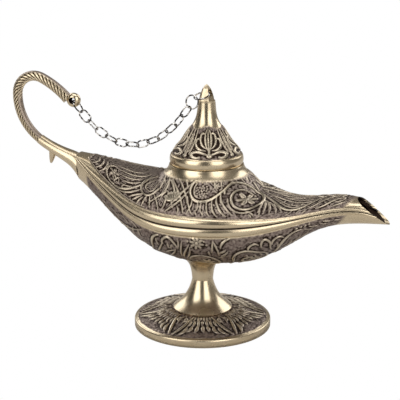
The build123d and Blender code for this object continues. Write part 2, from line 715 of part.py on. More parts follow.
def make_handle_bar():
    """The bent bar with twisted flutes, thicker towards the knob."""
    length = bar_length()
    stations = round(length / BAR_STATION_PITCH)
    twist = 0
    rings = []
    for station in range(stations + 1):
        share = station / stations
        point, heading = bar_place(length * share)
        outward = Vector(-math.sin(heading), 0, math.cos(heading))
        radius = mixed(BAR_FOOT_THICKNESS, BAR_HEAD_THICKNESS, share) / 2
        ring = []
        for corner in range(2 * BAR_FLUTES):
            turn = math.pi * corner / BAR_FLUTES + twist
            reach = radius - BAR_FLUTE_DEPTH * (corner % 2)
            ring.append(point + outward * (reach * math.cos(turn)) + Vector(0, 1, 0) * (reach * math.sin(turn)))
        rings.append(ring)
        twist -= 2 * math.pi * length / stations / mixed(BAR_FOOT_LEAD, BAR_HEAD_LEAD, share)
    return skinned(rings) + bar_pin(0)


def knob_centre():
    end, heading = bar_place(bar_length())
    along = Vector(math.cos(heading), 0, math.sin(heading))
    outward = Vector(-math.sin(heading), 0, math.cos(heading))
    return end + along * KNOB_SEAT + outward * KNOB_RAISE


def make_handle_knob():
    heading = bar_place(bar_length())[1]
    ball = Sphere(KNOB_RADIUS) & Box(KNOB_RADIUS * 2, KNOB_THICKNESS, KNOB_RADIUS * 2)
    hole = Rot(90, 0, 0) * Cylinder(KNOB_HOLE_RADIUS, KNOB_THICKNESS + OVERRUN)
    behind = Rot(0, -math.degrees(heading), 0) * Pos(-KNOB_SEAT, 0, 0) * Box(
        KNOB_RADIUS, KNOB_RADIUS * 2, KNOB_RADIUS * 2 + OVERRUN, align=(Align.MAX, Align.CENTER, Align.CENTER))
    return Pos(knob_centre()) * (ball - hole - behind)


# Chain

def bisected(function, low, high):
    """The place between low and high where a rising function crosses zero."""
    for _ in range(BISECTION_STEPS):
        middle = (low + high) / 2
        if function(middle) < 0:
            low = middle
        else:
            high = middle
    return (low + high) / 2


def hanging_angles(lengths, reach, rise):
    """Slopes of rigid pieces, end to end, that hang as a catenary across the given reach and rise."""
    total = sum(lengths)
    middles = [sum(lengths[:index]) + length / 2 for index, length in enumerate(lengths)]

    def angles(sag, low):
        return [math.atan((middle - low) / sag) for middle in middles]

    def lowest_place(sag):
        return bisected(lambda low: rise - sum(length * math.sin(angle) for length, angle
                                               in zip(lengths, angles(sag, low))), -total, 2 * total)

    def reach_error(sag):
        slopes = angles(sag, lowest_place(sag))
        return sum(length * math.cos(angle) for length, angle in zip(lengths, slopes)) - reach

    sag = bisected(reach_error, total * LEAST_SAG_SHARE, total * MOST_SAG_SHARE)
    return angles(sag, lowest_place(sag))


def finial_ring_frame(droop):
    """The finial ring's centre, its direction away from the finial and its normal."""
    axis = finial_hole_axis()
    sideways = axis.cross(Vector(0, 0, 1))
    turn = math.radians(droop)
    away = sideways * math.cos(turn) - Vector(0, 0, 1) * math.sin(turn)
    hole = Vector(NECK_X, 0, FINIAL_HOLE_Z)
    return hole + away * FINIAL_RING_OFFSET, away, axis.cross(away)


def ring_hang_point(droop):
    """The point where the chain hangs on the finial ring."""
    centre, away, _ = finial_ring_frame(droop)
    turn = math.radians(FINIAL_RING_HANG)
    toward = finial_hole_axis() * math.cos(turn) + away * math.sin(turn)
    return centre + toward * half_pitch(FINIAL_RING_DIAMETER)


def half_pitch(length):
    """Distance from the middle of a ring or link to the hinge at its end, between the two wires."""
    return length / 2 - WIRE_DIAMETER - WIRE_GAP / 2


def chain_lengths():
    """Distance from hinge to hinge on the knob ring, the links and the near ring."""
    knob_ring = KNOB_RING_OFFSET + half_pitch(KNOB_RING_DIAMETER)
    near_ring = half_pitch(NEAR_RING_DIAMETER) * 2 - NEAR_RING_PLAY
    lengths = [knob_ring] + [half_pitch(LINK_LENGTH) * 2] * LINK_COUNT + [near_ring]
    lengths[OPEN_PIVOT_LINK] -= OPEN_PIVOT_PLAY
    return lengths


def chain_hinges():
    """The hinge points along the chain, from the knob's hole to the finial ring."""
    start, end = knob_centre(), ring_hang_point(FINIAL_RING_DROOP)
    lengths = chain_lengths()
    angles = hanging_angles(lengths, end.X - start.X, end.Z - start.Z)
    points = [start]
    for length, angle in zip(lengths, angles):
        aside = (end.Y - start.Y) * length / sum(lengths)
        points.append(points[-1] + Vector(length * math.cos(angle), aside, length * math.sin(angle)))
    return points


def link_frame(start, end, twist):
    """Direction, width direction and normal of a piece of chain between two hinges."""
    along = (end - start).normalized()
    level = (Vector(0, 1, 0) - along * along.Y).normalized()
    upward = along.cross(level)
    turn = math.radians(twist)
    across = level * math.cos(turn) - upward * math.sin(turn)
    return along, across, along.cross(across)


def make_loop(centre, along, across, length, width):
    """A round ring, or an oval link when it is longer than wide."""
    bend = (width - WIRE_DIAMETER) / 2
    straight = (length - width) / 2
    points = []
    for end in (1, -1):
        for step in range(LOOP_BEND_STEPS + (1 if straight > 0 else 0)):
            turn = math.pi * step / LOOP_BEND_STEPS - end * math.pi / 2
            points.append(centre + along * (end * straight + bend * math.cos(turn)) + across * (bend * math.sin(turn)))
    return wire_loop(points, along.cross(across), WIRE_DIAMETER)


def make_chain():
    """The chain's pieces by name, from the handle's knob to the finial."""
    hinges = chain_hinges()
    pieces = {}
    along, across, _ = link_frame(hinges[0], hinges[1], 0)
    pieces["chain_ring_knob"] = make_loop(hinges[0] + along * KNOB_RING_OFFSET, along, across,
                                          KNOB_RING_DIAMETER, KNOB_RING_DIAMETER)
    for link in range(LINK_COUNT):
        start, end = hinges[link + 1], hinges[link + 2]
        twist = LINK_TWIST * (1 if link % 2 else -1) * (FIRST_LINK_TWIST_SHARE if link == 0 else 1)
        along, across, _ = link_frame(start, end, twist)
        centre = end - along * half_pitch(LINK_LENGTH)
        pieces[f"chain_link_{link + 1:02d}"] = make_loop(centre, along, across, LINK_LENGTH, LINK_WIDTH)
    along, across, _ = link_frame(hinges[-2], hinges[-1], NEAR_RING_TWIST)
    pieces["chain_ring_near_finial"] = make_loop(hinges[-2] + along * half_pitch(NEAR_RING_DIAMETER), along, across,
                                                 NEAR_RING_DIAMETER, NEAR_RING_DIAMETER)
    centre, away, _ = finial_ring_frame(FINIAL_RING_DROOP)
    pieces["chain_ring_finial"] = make_loop(centre, away, finial_hole_axis(), FINIAL_RING_DIAMETER,
                                            FINIAL_RING_DIAMETER)
    return pieces


def make_lamp():
    cavity = make_cavity()
    pieces = {
        "foot_disc": make_foot_disc(),
        "pedestal_cone": make_pedestal_cone(),
        "foot_washer": make_foot_washer(),
        "foot_screw": make_foot_screw(),
        "lower_shell": make_lower_shell(cavity),
        "upper_shell": make_upper_shell(cavity),
        "handle_root": make_handle_root(),
        "handle_bar": make_handle_bar(),
        "handle_knob": make_handle_knob(),
        "lid": make_lid(),
        "finial": make_finial(),
    }
    pieces.update(make_chain())
    return pieces


if __name__ == "__main__":
    for name, piece in make_lamp().items():
        export_step(piece, f"parts/{name}.step")
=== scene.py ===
import math

import bpy
import numpy as np
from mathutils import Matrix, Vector


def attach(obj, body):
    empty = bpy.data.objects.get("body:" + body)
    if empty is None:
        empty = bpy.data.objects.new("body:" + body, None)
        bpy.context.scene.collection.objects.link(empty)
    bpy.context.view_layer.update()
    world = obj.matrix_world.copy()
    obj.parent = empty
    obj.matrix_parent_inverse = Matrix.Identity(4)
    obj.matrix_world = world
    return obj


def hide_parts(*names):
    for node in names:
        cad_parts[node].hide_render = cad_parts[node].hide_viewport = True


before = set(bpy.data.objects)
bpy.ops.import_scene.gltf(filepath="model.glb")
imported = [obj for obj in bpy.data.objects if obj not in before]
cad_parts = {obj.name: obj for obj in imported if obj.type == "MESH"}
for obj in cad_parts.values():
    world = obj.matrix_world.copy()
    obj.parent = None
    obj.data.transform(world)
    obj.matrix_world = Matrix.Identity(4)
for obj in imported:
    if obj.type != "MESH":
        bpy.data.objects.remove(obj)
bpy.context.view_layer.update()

MM = 0.001
RNG = np.random.default_rng(11)

# Camera, at the photograph's viewing angle
CAMERA_AZIMUTH = 15.0
CAMERA_ELEVATION = 15.6
CAMERA_DISTANCE = 0.650
CAMERA_TARGET = (-0.0015, 0.0, 0.0712)
CAMERA_LENS = 107.0
SENSOR_WIDTH = 36.0

# Body, in millimetres: place, half width, crest, seam and keel heights of its stations
BODY_LENGTH, BODY_BEHIND_STEM, BODY_HALF_WIDTH = 173.0, 71.0, 36.5
BODY_BOTTOM, BODY_HEIGHT, BODY_WALL = 39.4, 54.3, 2.0
WALL_LIMIT_SHARE = 0.3
BODY_STATION_SHARES = [
    (0.000, 0.150, 1.000, 0.975, 0.720),
    (0.064, 0.315, 0.972, 0.818, 0.560),
    (0.139, 0.520, 0.915, 0.676, 0.365),
    (0.214, 0.726, 0.866, 0.565, 0.200),
    (0.295, 0.890, 0.843, 0.506, 0.065),
    (0.410, 1.000, 0.838, 0.492, 0.000),
    (0.526, 0.945, 0.800, 0.497, 0.004),
    (0.618, 0.767, 0.726, 0.508, 0.080),
    (0.700, 0.560, 0.660, 0.538, 0.220),
    (0.780, 0.397, 0.692, 0.586, 0.380),
    (0.861, 0.274, 0.727, 0.624, 0.455),
    (0.931, 0.205, 0.716, 0.610, 0.474),
    (1.000, 0.110, 0.700, 0.534, 0.480),
    (1.040, 0.060, 0.690, 0.512, 0.488),
]
SEAM_GAP = 0.3
BAND_BULGE_SHARE, BAND_INSET_SHARE = 0.17, 0.12
UPPER_BAND_SHARE, LOWER_BAND_SHARE = 0.27, 0.18
MOUTH_APEX, MOUTH_ANGLE = (85.2, 78.3), 37.5
MOUTH_REACH, MOUTH_HALVINGS = 12.0, 40

# Neck and round shoulder
NECK_X, NECK_TOP, NECK_RADIUS, NECK_BORE = 2.2, 92.4, 20.2, 17.8
SHOULDER_RADIUS, SHOULDER_DROP = 35.2, 20.9
SHOULDER_SHARES = [(0, 0), (0.05, 0.10), (0.21, 0.25), (0.56, 0.50), (0.85, 0.76), (1, 1)]

CAVITY_START_SHARE, NECK_BORE_DEPTH = 0.085, 14.0

# Foot, cone and stem
FOOT_RADIUS, FOOT_RIM_HEIGHT, FOOT_TOP, FOOT_WALL = 38.0, 4.3, 9.4, 2.0
FOOT_RING_WIDTH, FOOT_EDGE_ROUND, SCREW_HOLE = 3.6, 0.9, 2.3
FOOT_SLOPE_SHARES = [(0.93, 0.10), (0.66, 0.38), (0.30, 0.82)]
CONE_FOOT_RADIUS, CONE_LIP, CONE_TOP_RADIUS, CONE_HEIGHT, CONE_WALL = 16.4, 0.9, 5.75, 17.0, 1.9
CONE_FLARE_SHARES = [(1, 0), (0.83, 0.10), (0.51, 0.29), (0.30, 0.48), (0.15, 0.68), (0, 1)]
CONE_TOP = FOOT_TOP + CONE_HEIGHT
STEM_RADIUS, STEM_TOP_RADIUS, SPIGOT_RADIUS, SPIGOT_LENGTH = 5.75, 14.0, 3.6, 2.6
SPIGOT_PLAY = 0.1
STEM_FLARE_SHARES = [(0, 0), (0.04, 0.20), (0.15, 0.52), (0.26, 0.66), (0.52, 0.84), (1, 1)]

# Lid
LID_BOTTOM = NECK_TOP + 0.2
LID_BAND_RADIUS, LID_BAND_HEIGHT, LID_BAND_BULGE, LID_STEP = 19.4, 5.2, 0.6, 0.7
LID_TOP_RADIUS, LID_TOP, LID_WALL = 4.75, LID_BOTTOM + 33.2, 1.6
LID_SIDE_SHARES = [(0.94, 0.06), (0.81, 0.15), (0.64, 0.25), (0.47, 0.38), (0.31, 0.50),
                   (0.19, 0.59), (0.10, 0.68), (0.03, 0.83)]
SKIRT_CLEARANCE, SKIRT_WALL, SKIRT_DEPTH = 0.35, 1.5, 6.0

# Handle: root, bar of three tangent arcs (radius, turn in degrees) and knob
ROOT_LENGTH, ROOT_RISE, ROOT_TAIL_HEIGHT = 23.0, 14.0, 86.1
ROOT_TAIL_HALF_HEIGHT, ROOT_TAIL_HALF_WIDTH, ROOT_END_RADIUS, ROOT_END_TILT = 6.9, 5.2, 2.75, 55.0
ROOT_STATION_SHARES = [(0.13, 0.22, 0.55, 0.72, 0.25), (0.32, 0.40, 0.27, 0.45, 0.50),
                       (0.60, 0.62, 0.10, 0.20, 0.78)]
SPUR_LENGTH, SPUR_BASE_RADIUS, SPUR_TIP_RADIUS, SPUR_PLACE_SHARE, SPUR_TILT = 6.2, 2.7, 0.4, 0.66, -12.0
BAR_ARCS = [(29.3, 59.0), (10.2, 112.0), (50.0, 21.5)]
BAR_FOOT_THICKNESS, BAR_HEAD_THICKNESS, BAR_FLUTES, BAR_FLUTE_DEPTH = 5.0, 5.9, 8, 0.5
BAR_FOOT_LEAD, BAR_HEAD_LEAD = 15.0, 21.0
KNOB_RADIUS, KNOB_THICKNESS, KNOB_HOLE_RADIUS, KNOB_SEAT, KNOB_RAISE = 4.0, 5.2, 1.9, 2.5, 2.3
KNOB_WAIST = 0.95
CHAIN_WIRE = 0.8

RELIEF_HEIGHT = 0.62
AXIS = 0.01  # radius at which a turned surface closes on its axis


# Curves

def between(start, end, share):
    return start + (end - start) * share


def fade(past, width=1.0):
    """0 up to an edge, and 1 from a width past it on."""
    return np.clip(past / width, 0, 1)


def spline(places, values):
    """A smooth curve through the values, as a function of place."""
    places, values = np.asarray(places, float), np.asarray(values, float)
    count, step = len(places), np.diff(places)
    matrix, right = np.zeros((count, count)), np.zeros(count)
    for i in range(1, count - 1):
        matrix[i, i - 1:i + 2] = step[i - 1], 2 * (step[i - 1] + step[i]), step[i]
        right[i] = 6 * ((values[i + 1] - values[i]) / step[i] - (values[i] - values[i - 1]) / step[i - 1])
    if count == 3:
        matrix[0, :2] = 1, -1
        matrix[-1, -2:] = 1, -1
    else:
        matrix[0, :3] = step[1], -(step[0] + step[1]), step[0]
        matrix[-1, -3:] = step[-1], -(step[-2] + step[-1]), step[-2]
    bend = np.linalg.solve(matrix, right)

    def curve(at):
        at = np.asarray(at, float)
        i = np.clip(np.searchsorted(places, at) - 1, 0, count - 2)
        after, before, wide = places[i + 1] - at, at - places[i], step[i]
        return ((bend[i] * after ** 3 + bend[i + 1] * before ** 3) / (6 * wide)
                + (values[i] / wide - bend[i] * wide / 6) * after
                + (values[i + 1] / wide - bend[i + 1] * wide / 6) * before)
    return curve


def through(points, pitch):
    """Points every pitch or so along a smooth line through the given points."""
    points = np.asarray(points, float)
    along = np.concatenate([[0], np.cumsum(np.hypot(*np.diff(points, axis=0).T))])
    count = max(2, int(along[-1] / pitch) + 1)
    at = np.linspace(0, along[-1], count)
    if len(points) < 3:
        return np.stack([np.interp(at, along, points[:, k]) for k in range(points.shape[1])], 1)
    return np.stack([spline(along, points[:, k])(at) for k in range(points.shape[1])], 1)


STATION_PLACES = [BODY_LENGTH * row[0] - BODY_BEHIND_STEM for row in BODY_STATION_SHARES]
half_width = spline(STATION_PLACES, [BODY_HALF_WIDTH * row[1] for row in BODY_STATION_SHARES])
crest, seam, keel = (spline(STATION_PLACES, [BODY_BOTTOM + BODY_HEIGHT * row[k]
                                             for row in BODY_STATION_SHARES]) for k in (2, 3, 4))
SHOULDER_LINE = through([(between(NECK_RADIUS, SHOULDER_RADIUS, out), NECK_TOP - SHOULDER_DROP * down)
                         for out, down in SHOULDER_SHARES], 0.1)


def shoulder_height(radius):
    inside = np.interp(radius, SHOULDER_LINE[:, 0], SHOULDER_LINE[:, 1])
    return np.where(radius <= SHOULDER_RADIUS, inside, -BODY_LENGTH)


# Relief, drawn in millimetres on a flat sheet and laid on the metal

def polar(centre, radius, angle):
    return centre[0] + radius * math.cos(angle), centre[1] + radius * math.sin(angle)


class Relief:
    """Ornament as heights from 0 to 1 on a sheet whose axes are millimetres on the surface."""
    PITCH = 0.15
    # a thin stroke is lower than a wide one, and a leaf's vein is cut half through it
    THIN_HEIGHT, HEIGHT_BY_WIDTH, VEIN_DEPTH = 0.45, 0.7, 0.5
    FILL_TRIES, BARE_HEIGHT = 2600, 0.05
    FILL_LEAF = {"bend": 0.14, "width": 0.42, "height": 0.62, "vein": 0.14}
    # stippled ground: height, limit of its grain, points that a grain spreads over, shade in its hollows
    STIPPLE, GRAIN_LIMIT, GRAIN_SPREAD, GRAIN_SHADE = 0.14, 1.6, 2, 0.1
    HOLLOW_SHADE, HOLLOW_SPREAD = 1.6, 6

    def __init__(self, low, high):
        self.low = np.array(low, float)
        size = (np.array(high, float) - self.low) / self.PITCH
        self.rise = np.zeros((int(size[1]) + 2, int(size[0]) + 2))
        self.groove = np.zeros_like(self.rise)

    def stamp(self, layer, place, radius, height):
        """Raises a round bump, where it stands above what is there."""
        reach = radius / self.PITCH
        column, row = (np.array(place) - self.low) / self.PITCH
        left, right = max(0, int(column - reach)), min(layer.shape[1], int(column + reach) + 2)
        bottom, top = max(0, int(row - reach)), min(layer.shape[0], int(row + reach) + 2)
        if left >= right or bottom >= top:
            return
        rows, columns = np.ogrid[bottom:top, left:right]
        far = ((rows - row) ** 2 + (columns - column) ** 2) / reach ** 2
        window = layer[bottom:top, left:right]
        np.maximum(window, height * np.sqrt(fade(1 - far)), out=window)

    def stroke(self, points, widths=(0.5,), height=1.0, vein=0.0):
        """A rounded ridge along the points; widths are half widths, spread evenly from start to end."""
        line = through(points, self.PITCH * 1.5)
        shares = np.linspace(0, 1, len(line))
        radii = np.interp(shares, np.linspace(0, 1, len(widths)), widths)
        for place, radius in zip(line, radii):
            tall = min(1, self.THIN_HEIGHT + radius * self.HEIGHT_BY_WIDTH)
            self.stamp(self.rise, place, radius, height * tall)
            if vein and radius > vein * 2:
                self.stamp(self.groove, place, vein, self.VEIN_DEPTH * height)

    def blade(self, base, tip, bend=0.0, width=0.7, height=1.0, vein=0.2):
        """A leaf blade with a vein, bent sideways by a share of its length."""
        base, tip = np.array(base, float), np.array(tip, float)
        aside = np.array([base[1] - tip[1], tip[0] - base[0]]) * bend
        widths = (width * 0.45, width, width * 0.8, 0.15)
        self.stroke([base, (base + tip) / 2 + aside, tip], widths, height, vein)

    def draw(self, strokes, blades):
        """Draws a table of strokes and a table of blades."""
        for widths, points in strokes:
            self.stroke(points, widths)
        for (bend, width), leaves in blades.items():
            for leaf in leaves:
                self.blade(leaf[:2], leaf[2:], bend, width)

    def scroll(self, centre, radius, start, turns, inner=0.2, widths=(0.75, 0.6, 0.45)):
        """A spiral that winds in to a bud; start in degrees, turns signed."""
        shares = np.linspace(0, 1, 28)
        reach = radius * (1 - (1 - inner) * shares ** 0.8)
        angle = np.radians(start + 360 * turns * shares)
        points = np.stack([centre[0] + reach * np.cos(angle), centre[1] + reach * np.sin(angle)], 1)
        self.stroke(points, widths)
        self.stamp(self.rise, points[-1], max(0.6, radius * 0.16), 1.0)

    def flower(self, centre, radius, petals, turn=0.0):
        wide = min(radius * 0.32, math.pi * radius * 0.6 / petals)
        for k in range(petals):
            angle = turn + 2 * math.pi * k / petals
            petal = [polar(centre, radius * share, angle) for share in (0.3, 1)]
            self.stroke(petal, (wide * 0.5, wide, wide * 0.9), 0.9, wide * 0.3)
        self.stamp(self.rise, centre, radius * 0.28, 1.0)

    def fill(self, low, high, heading, spread, reach):
        """Small leaves where a patch of the ground is still bare; heading and spread in degrees."""
        bare = self.rise.copy()
        for u, v, turn, size in RNG.random((self.FILL_TRIES, 4)):
            base = np.array([between(low[0], high[0], u), between(low[1], high[1], v)])
            angle = math.radians(heading + (round(turn) * 2 - 1) * spread * (0.6 + 0.4 * size))
            tip = base + np.array([math.cos(angle), math.sin(angle)]) * reach * (0.7 + 0.6 * size)
            ways = [between(base, tip, share) for share in (0, 0.5, 1)]
            if max(self.near(self.rise, ways[1]), *(self.near(bare, way) for way in ways)) < self.BARE_HEIGHT:
                self.blade(base, tip, **self.FILL_LEAF)

    def near(self, layer, place):
        """The highest value within a short reach of a place."""
        column, row = ((np.array(place) - self.low) / self.PITCH).astype(int)
        window = layer[max(0, row - 2):row + 3, max(0, column - 2):column + 3]
        return window.max() if window.size else 1.0

    def settle(self):
        """Takes the grooves out, adds the stippled ground, and works out the painted shade that lies in a
        hollow.
        """
        self.rise = fade(self.rise - self.groove)
        grain = blurred(RNG.standard_normal(self.rise.shape), self.GRAIN_SPREAD)
        grain /= grain.std()
        ground = fade(1 - self.rise * 3)
        self.shape = self.rise + self.STIPPLE * np.clip(grain, -self.GRAIN_LIMIT, self.GRAIN_LIMIT) * ground
        # painted shade: ground near raised ornament, and the low spots of its grain, are darkened as shaded
        # hollows
        below = blurred(self.rise, self.HOLLOW_SPREAD) - self.rise
        self.hollow = fade(0.5 + self.HOLLOW_SHADE * below - self.GRAIN_SHADE * grain * ground)

    def finish(self, u, v, polish):
        """Height and hollowness at places on the sheet, level where the metal is polished."""
        bare = 1 - polish
        return self.read(self.shape, u, v) * bare, 0.5 + (self.read(self.hollow, u, v) - 0.5) * bare

    def read(self, layer, u, v):
        """A layer's values between its points."""
        column = np.clip((u - self.low[0]) / self.PITCH, 0, layer.shape[1] - 1.001)
        row = np.clip((v - self.low[1]) / self.PITCH, 0, layer.shape[0] - 1.001)
        i, j = row.astype(int), column.astype(int)
        a, b = row - i, column - j
        return ((layer[i, j] * (1 - b) + layer[i, j + 1] * b) * (1 - a)
                + (layer[i + 1, j] * (1 - b) + layer[i + 1, j + 1] * b) * a)


def blurred(sheet, cells):
    """The sheet with each value spread over its neighbours, twice."""
    for _ in range(2):
        for axis in (0, 1):
            run = np.cumsum(np.concatenate([np.repeat(sheet.take([0], axis), cells + 1, axis), sheet,
                                            np.repeat(sheet.take([-1], axis), cells, axis)], axis), axis)
            width = 2 * cells + 1
            sheet = (run.take(range(width, run.shape[axis]), axis)
                     - run.take(range(run.shape[axis] - width), axis)) / width
    return sheet


# Meshes

TURN_SIDES, TURN_PITCH = 240, 0.3


def grid_faces(rows, columns, closed_rows=False, closed_columns=False, keep=None, start=0):
    """Quads of a grid of points, as rows of four indices."""
    last_row, last_column = rows - (0 if closed_rows else 1), columns - (0 if closed_columns else 1)
    i, j = np.meshgrid(np.arange(last_row), np.arange(last_column), indexing="ij")
    below, beside = (i + 1) % rows, (j + 1) % columns
    quads = [i * columns + j, i * columns + beside, below * columns + beside, below * columns + j]
    quads = np.stack(quads, 2).reshape(-1, 4)
    if keep is not None:
        quads = quads[keep.reshape(-1)[quads].all(1)]
    return quads + start


class Skin:
    """Gathers grids of points in millimetres, with their finish, and makes one smooth mesh of them."""

    def __init__(self):
        self.points, self.quads, self.count = [], [], 0
        self.layers = {"relief": [], "hollow": [], "polish": []}

    def add(self, points, relief=0.0, hollow=0.0, polish=1.0, flip=False, **grid):
        """Adds a grid of points; the finish is one value or one for each point."""
        rows, columns = points.shape[:2]
        quads = grid_faces(rows, columns, start=self.count, **grid)
        self.quads.append(quads[:, ::-1] if flip else quads)
        self.points.append(points.reshape(-1, 3))
        for name, value in (("relief", relief), ("hollow", hollow), ("polish", polish)):
            self.layers[name].append(np.broadcast_to(value, (rows, columns)).reshape(-1))
        self.count += rows * columns

    def turn(self, profile, centre_x=0.0, sides=TURN_SIDES, pitch=None, **finish):
        """Adds a surface turned about the upright axis through centre_x."""
        self.add(revolved(profile, centre_x, sides, pitch)[0], closed_columns=True, **finish)

    def dress(self, grid, sheet, place, run, polish):
        """Adds a turned grid with the sheet's ornament raised on it."""
        relief, hollow = sheet.finish(place, run, polish)
        grid = grid + normals(grid, True) * (RELIEF_HEIGHT * relief)[..., None]
        self.add(grid, relief, hollow, polish, closed_columns=True)

    def mesh(self, name, material, body, node, slot="antique_brass"):
        """One mesh of all that was added, which rides a body and stands for a solid."""
        points, quads = np.concatenate(self.points), np.concatenate(self.quads)
        used = np.unique(quads)
        renumber = np.zeros(len(points), int)
        renumber[used] = np.arange(len(used))
        points, quads = points[used] * MM, renumber[quads]
        mesh = bpy.data.meshes.new(name)
        mesh.vertices.add(len(points))
        mesh.vertices.foreach_set("co", points.reshape(-1))
        mesh.loops.add(quads.size)
        mesh.loops.foreach_set("vertex_index", quads.reshape(-1))
        mesh.polygons.add(len(quads))
        mesh.polygons.foreach_set("loop_start", np.arange(0, quads.size, 4))
        mesh.polygons.foreach_set("loop_total", np.full(len(quads), 4))
        mesh.update(calc_edges=True)
        mesh.shade_smooth()
        for layer, values in self.layers.items():
            attribute = mesh.attributes.new(layer, "FLOAT", "POINT")
            attribute.data.foreach_set("value", np.concatenate(values)[used].astype(np.float32))
        mesh.materials.append(material)
        piece = bpy.data.objects.new(name, mesh)
        bpy.context.scene.collection.objects.link(piece)
        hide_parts(node)
        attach(piece, body)


def normals(points, closed_columns=False):
    """Unit normals of a grid of points."""
    if closed_columns:
        across = np.roll(points, -1, 1) - np.roll(points, 1, 1)
    else:
        across = np.gradient(points, axis=1)
    normal = np.cross(across, np.gradient(points, axis=0))
    return normal / np.maximum(np.linalg.norm(normal, axis=2, keepdims=True), 1e-9)


def run_length(points):
    """Distance along each column of a grid from its first row."""
    steps = np.linalg.norm(np.diff(points, axis=0), axis=2)
    return np.concatenate([np.zeros((1, points.shape[1])), np.cumsum(steps, 0)])


def revolved(profile, centre_x, sides, pitch):
    """A grid turned about an upright axis, from (radius, height) points, and its smooth outline."""
    line = through(profile, pitch) if pitch else np.asarray(profile, float)
    turn = np.linspace(0, 2 * math.pi, sides, endpoint=False)
    radius, height = line[:, :1], line[:, 1:2]
    return np.stack([centre_x + radius * np.cos(turn), radius * np.sin(turn), height + 0 * turn], 2), line


def around(sides, front, scale, span):
    """Degrees from the front, and places on a sheet that repeats around, for the columns of a turned grid."""
    angle = np.linspace(0, 360, sides, endpoint=False)[None, :] - front
    return angle, (angle * scale + span / 2) % span


# Body shells

def arc(start, middle, end, share):
    """Points on the circle through three places."""
    (ax, ay), (bx, by), (cx, cy) = start, middle, end
    d = 2 * (ax * (by - cy) + bx * (cy - ay) + cx * (ay - by))
    a2, b2, c2 = ax ** 2 + ay ** 2, bx ** 2 + by ** 2, cx ** 2 + cy ** 2
    x = (a2 * (by - cy) + b2 * (cy - ay) + c2 * (ay - by)) / d
    y = (a2 * (cx - bx) + b2 * (ax - cx) + c2 * (bx - ax)) / d
    first, last = np.arctan2(ay - y, ax - x), np.arctan2(cy - y, cx - x)
    angle, radius = first + (last - first) * share, np.hypot(ax - x, ay - y)
    return x + radius * np.cos(angle), y + radius * np.sin(angle)


def side_height(x, up):
    return crest(x) - seam(x) if up > 0 else seam(x) - keel(x)


def band_points(x, share, up, band_share):
    """The bulging band beside the seam: distance out and height."""
    wide, tall = half_width(x), side_height(x, up) * band_share
    out, rise = arc((wide, SEAM_GAP / 2 + 0 * wide), (wide + tall * BAND_BULGE_SHARE, tall / 2),
                    (wide - tall * BAND_INSET_SHARE, tall), share)
    return out, seam(x) + up * rise


def dome_points(x, share, up, band_share):
    """The elliptical side above or below the band, up to the crest or keel."""
    tall = side_height(x, up)
    band = tall * band_share
    inner, angle = half_width(x) - band * BAND_INSET_SHARE, share * math.pi / 2
    return inner * np.cos(angle), seam(x) + up * (band + (tall - band) * np.sin(angle))


def cavity_points(x, share, up, band_share):
    """The inside wall."""
    wall = np.minimum(BODY_WALL, half_width(x) * WALL_LIMIT_SHARE)
    angle = share * math.pi / 2
    return ((half_width(x) - wall) * np.cos(angle),
            seam(x) + up * (side_height(x, up) - wall) * np.sin(angle))


def mouth_height(x):
    return MOUTH_APEX[1] - math.tan(math.radians(MOUTH_ANGLE)) * (x - MOUTH_APEX[0])


def trimmed(form, shares, columns, up, band_share, start):
    """A grid along the body on one side, whose columns end on the slanted mouth, found by halving."""
    low, high = np.full(len(shares), MOUTH_APEX[0] - MOUTH_REACH), np.full(len(shares), STATION_PLACES[-1])
    for _ in range(MOUTH_HALVINGS):
        middle = (low + high) / 2
        above = form(middle, shares, up, band_share)[1] > mouth_height(middle)
        high, low = np.where(above, middle, high), np.where(above, low, middle)
    along = np.linspace(0, 1, columns)[None, :]
    x = start + (low[:, None] - start) * along
    out, height = form(x, shares[:, None], up, band_share)
    return np.stack([x, -out, height], 2)


def mirrored(points):
    return points * np.array([1, -1, 1])


def both_sides(points):
    """One grid over both sides, from the near seam over the crest to the far seam."""
    return np.concatenate([points, mirrored(points[-2::-1])])


def twice(values):
    return np.concatenate([values, values[-2::-1]])


# Materials

def shader(name, roughness, metallic=1.0):
    """A node material, its tree and its shader."""
    material = bpy.data.materials.new(name)
    material.use_nodes = True
    tree = material.node_tree
    bsdf = tree.nodes["Principled BSDF"]
    bsdf.inputs["Roughness"].default_value = roughness
    bsdf.inputs["Metallic"].default_value = metallic
    return material, tree, bsdf


def plug(tree, value, socket):
    """Sets an input to a value, or links it to another node's output."""
    if isinstance(value, bpy.types.NodeSocket):
        tree.links.new(value, socket)
    else:
        socket.default_value = value


def add(tree, kind, settings=(), **inputs):
    """A node; its inputs go by name, or as i and their number."""
    node = tree.nodes.new("ShaderNode" + kind)
    for key, value in settings:
        setattr(node, key, value)
    for key, value in inputs.items():
        numbered = key[0] == "i" and key[1:].isdigit()
        plug(tree, value, node.inputs[int(key[1:]) if numbered else key])
    return node


def ramp(tree, factor, *stops):
    """A colour ramp; stops are (place, colour)."""
    node = add(tree, "ValToRGB", i0=factor)
    elements = node.color_ramp.elements
    while len(elements) < len(stops):
        elements.new(0.5)
    for element, (place, colour) in zip(elements, stops):
        element.position = place
        element.color = (*colour, 1)
    return node.outputs["Color"]


def layer(tree, name):
    return add(tree, "Attribute", [("attribute_name", name)]).outputs["Fac"]


def mixed_colour(tree, factor, first, second):
    """Two colours mixed; each is an output, or a colour without its alpha."""
    node = add(tree, "Mix", [("data_type", "RGBA")], Factor=factor)
    for socket, value in ((node.inputs[6], first), (node.inputs[7], second)):
        plug(tree, value if isinstance(value, bpy.types.NodeSocket) else (*value, 1), socket)
    return node.outputs[2]


def grey(value):
    return (value,) * 3


def math_node(tree, operation, first, second=0.0, clamp=False):
    return add(tree, "Math", [("operation", operation), ("use_clamp", clamp)], i0=first, i1=second).outputs[0]


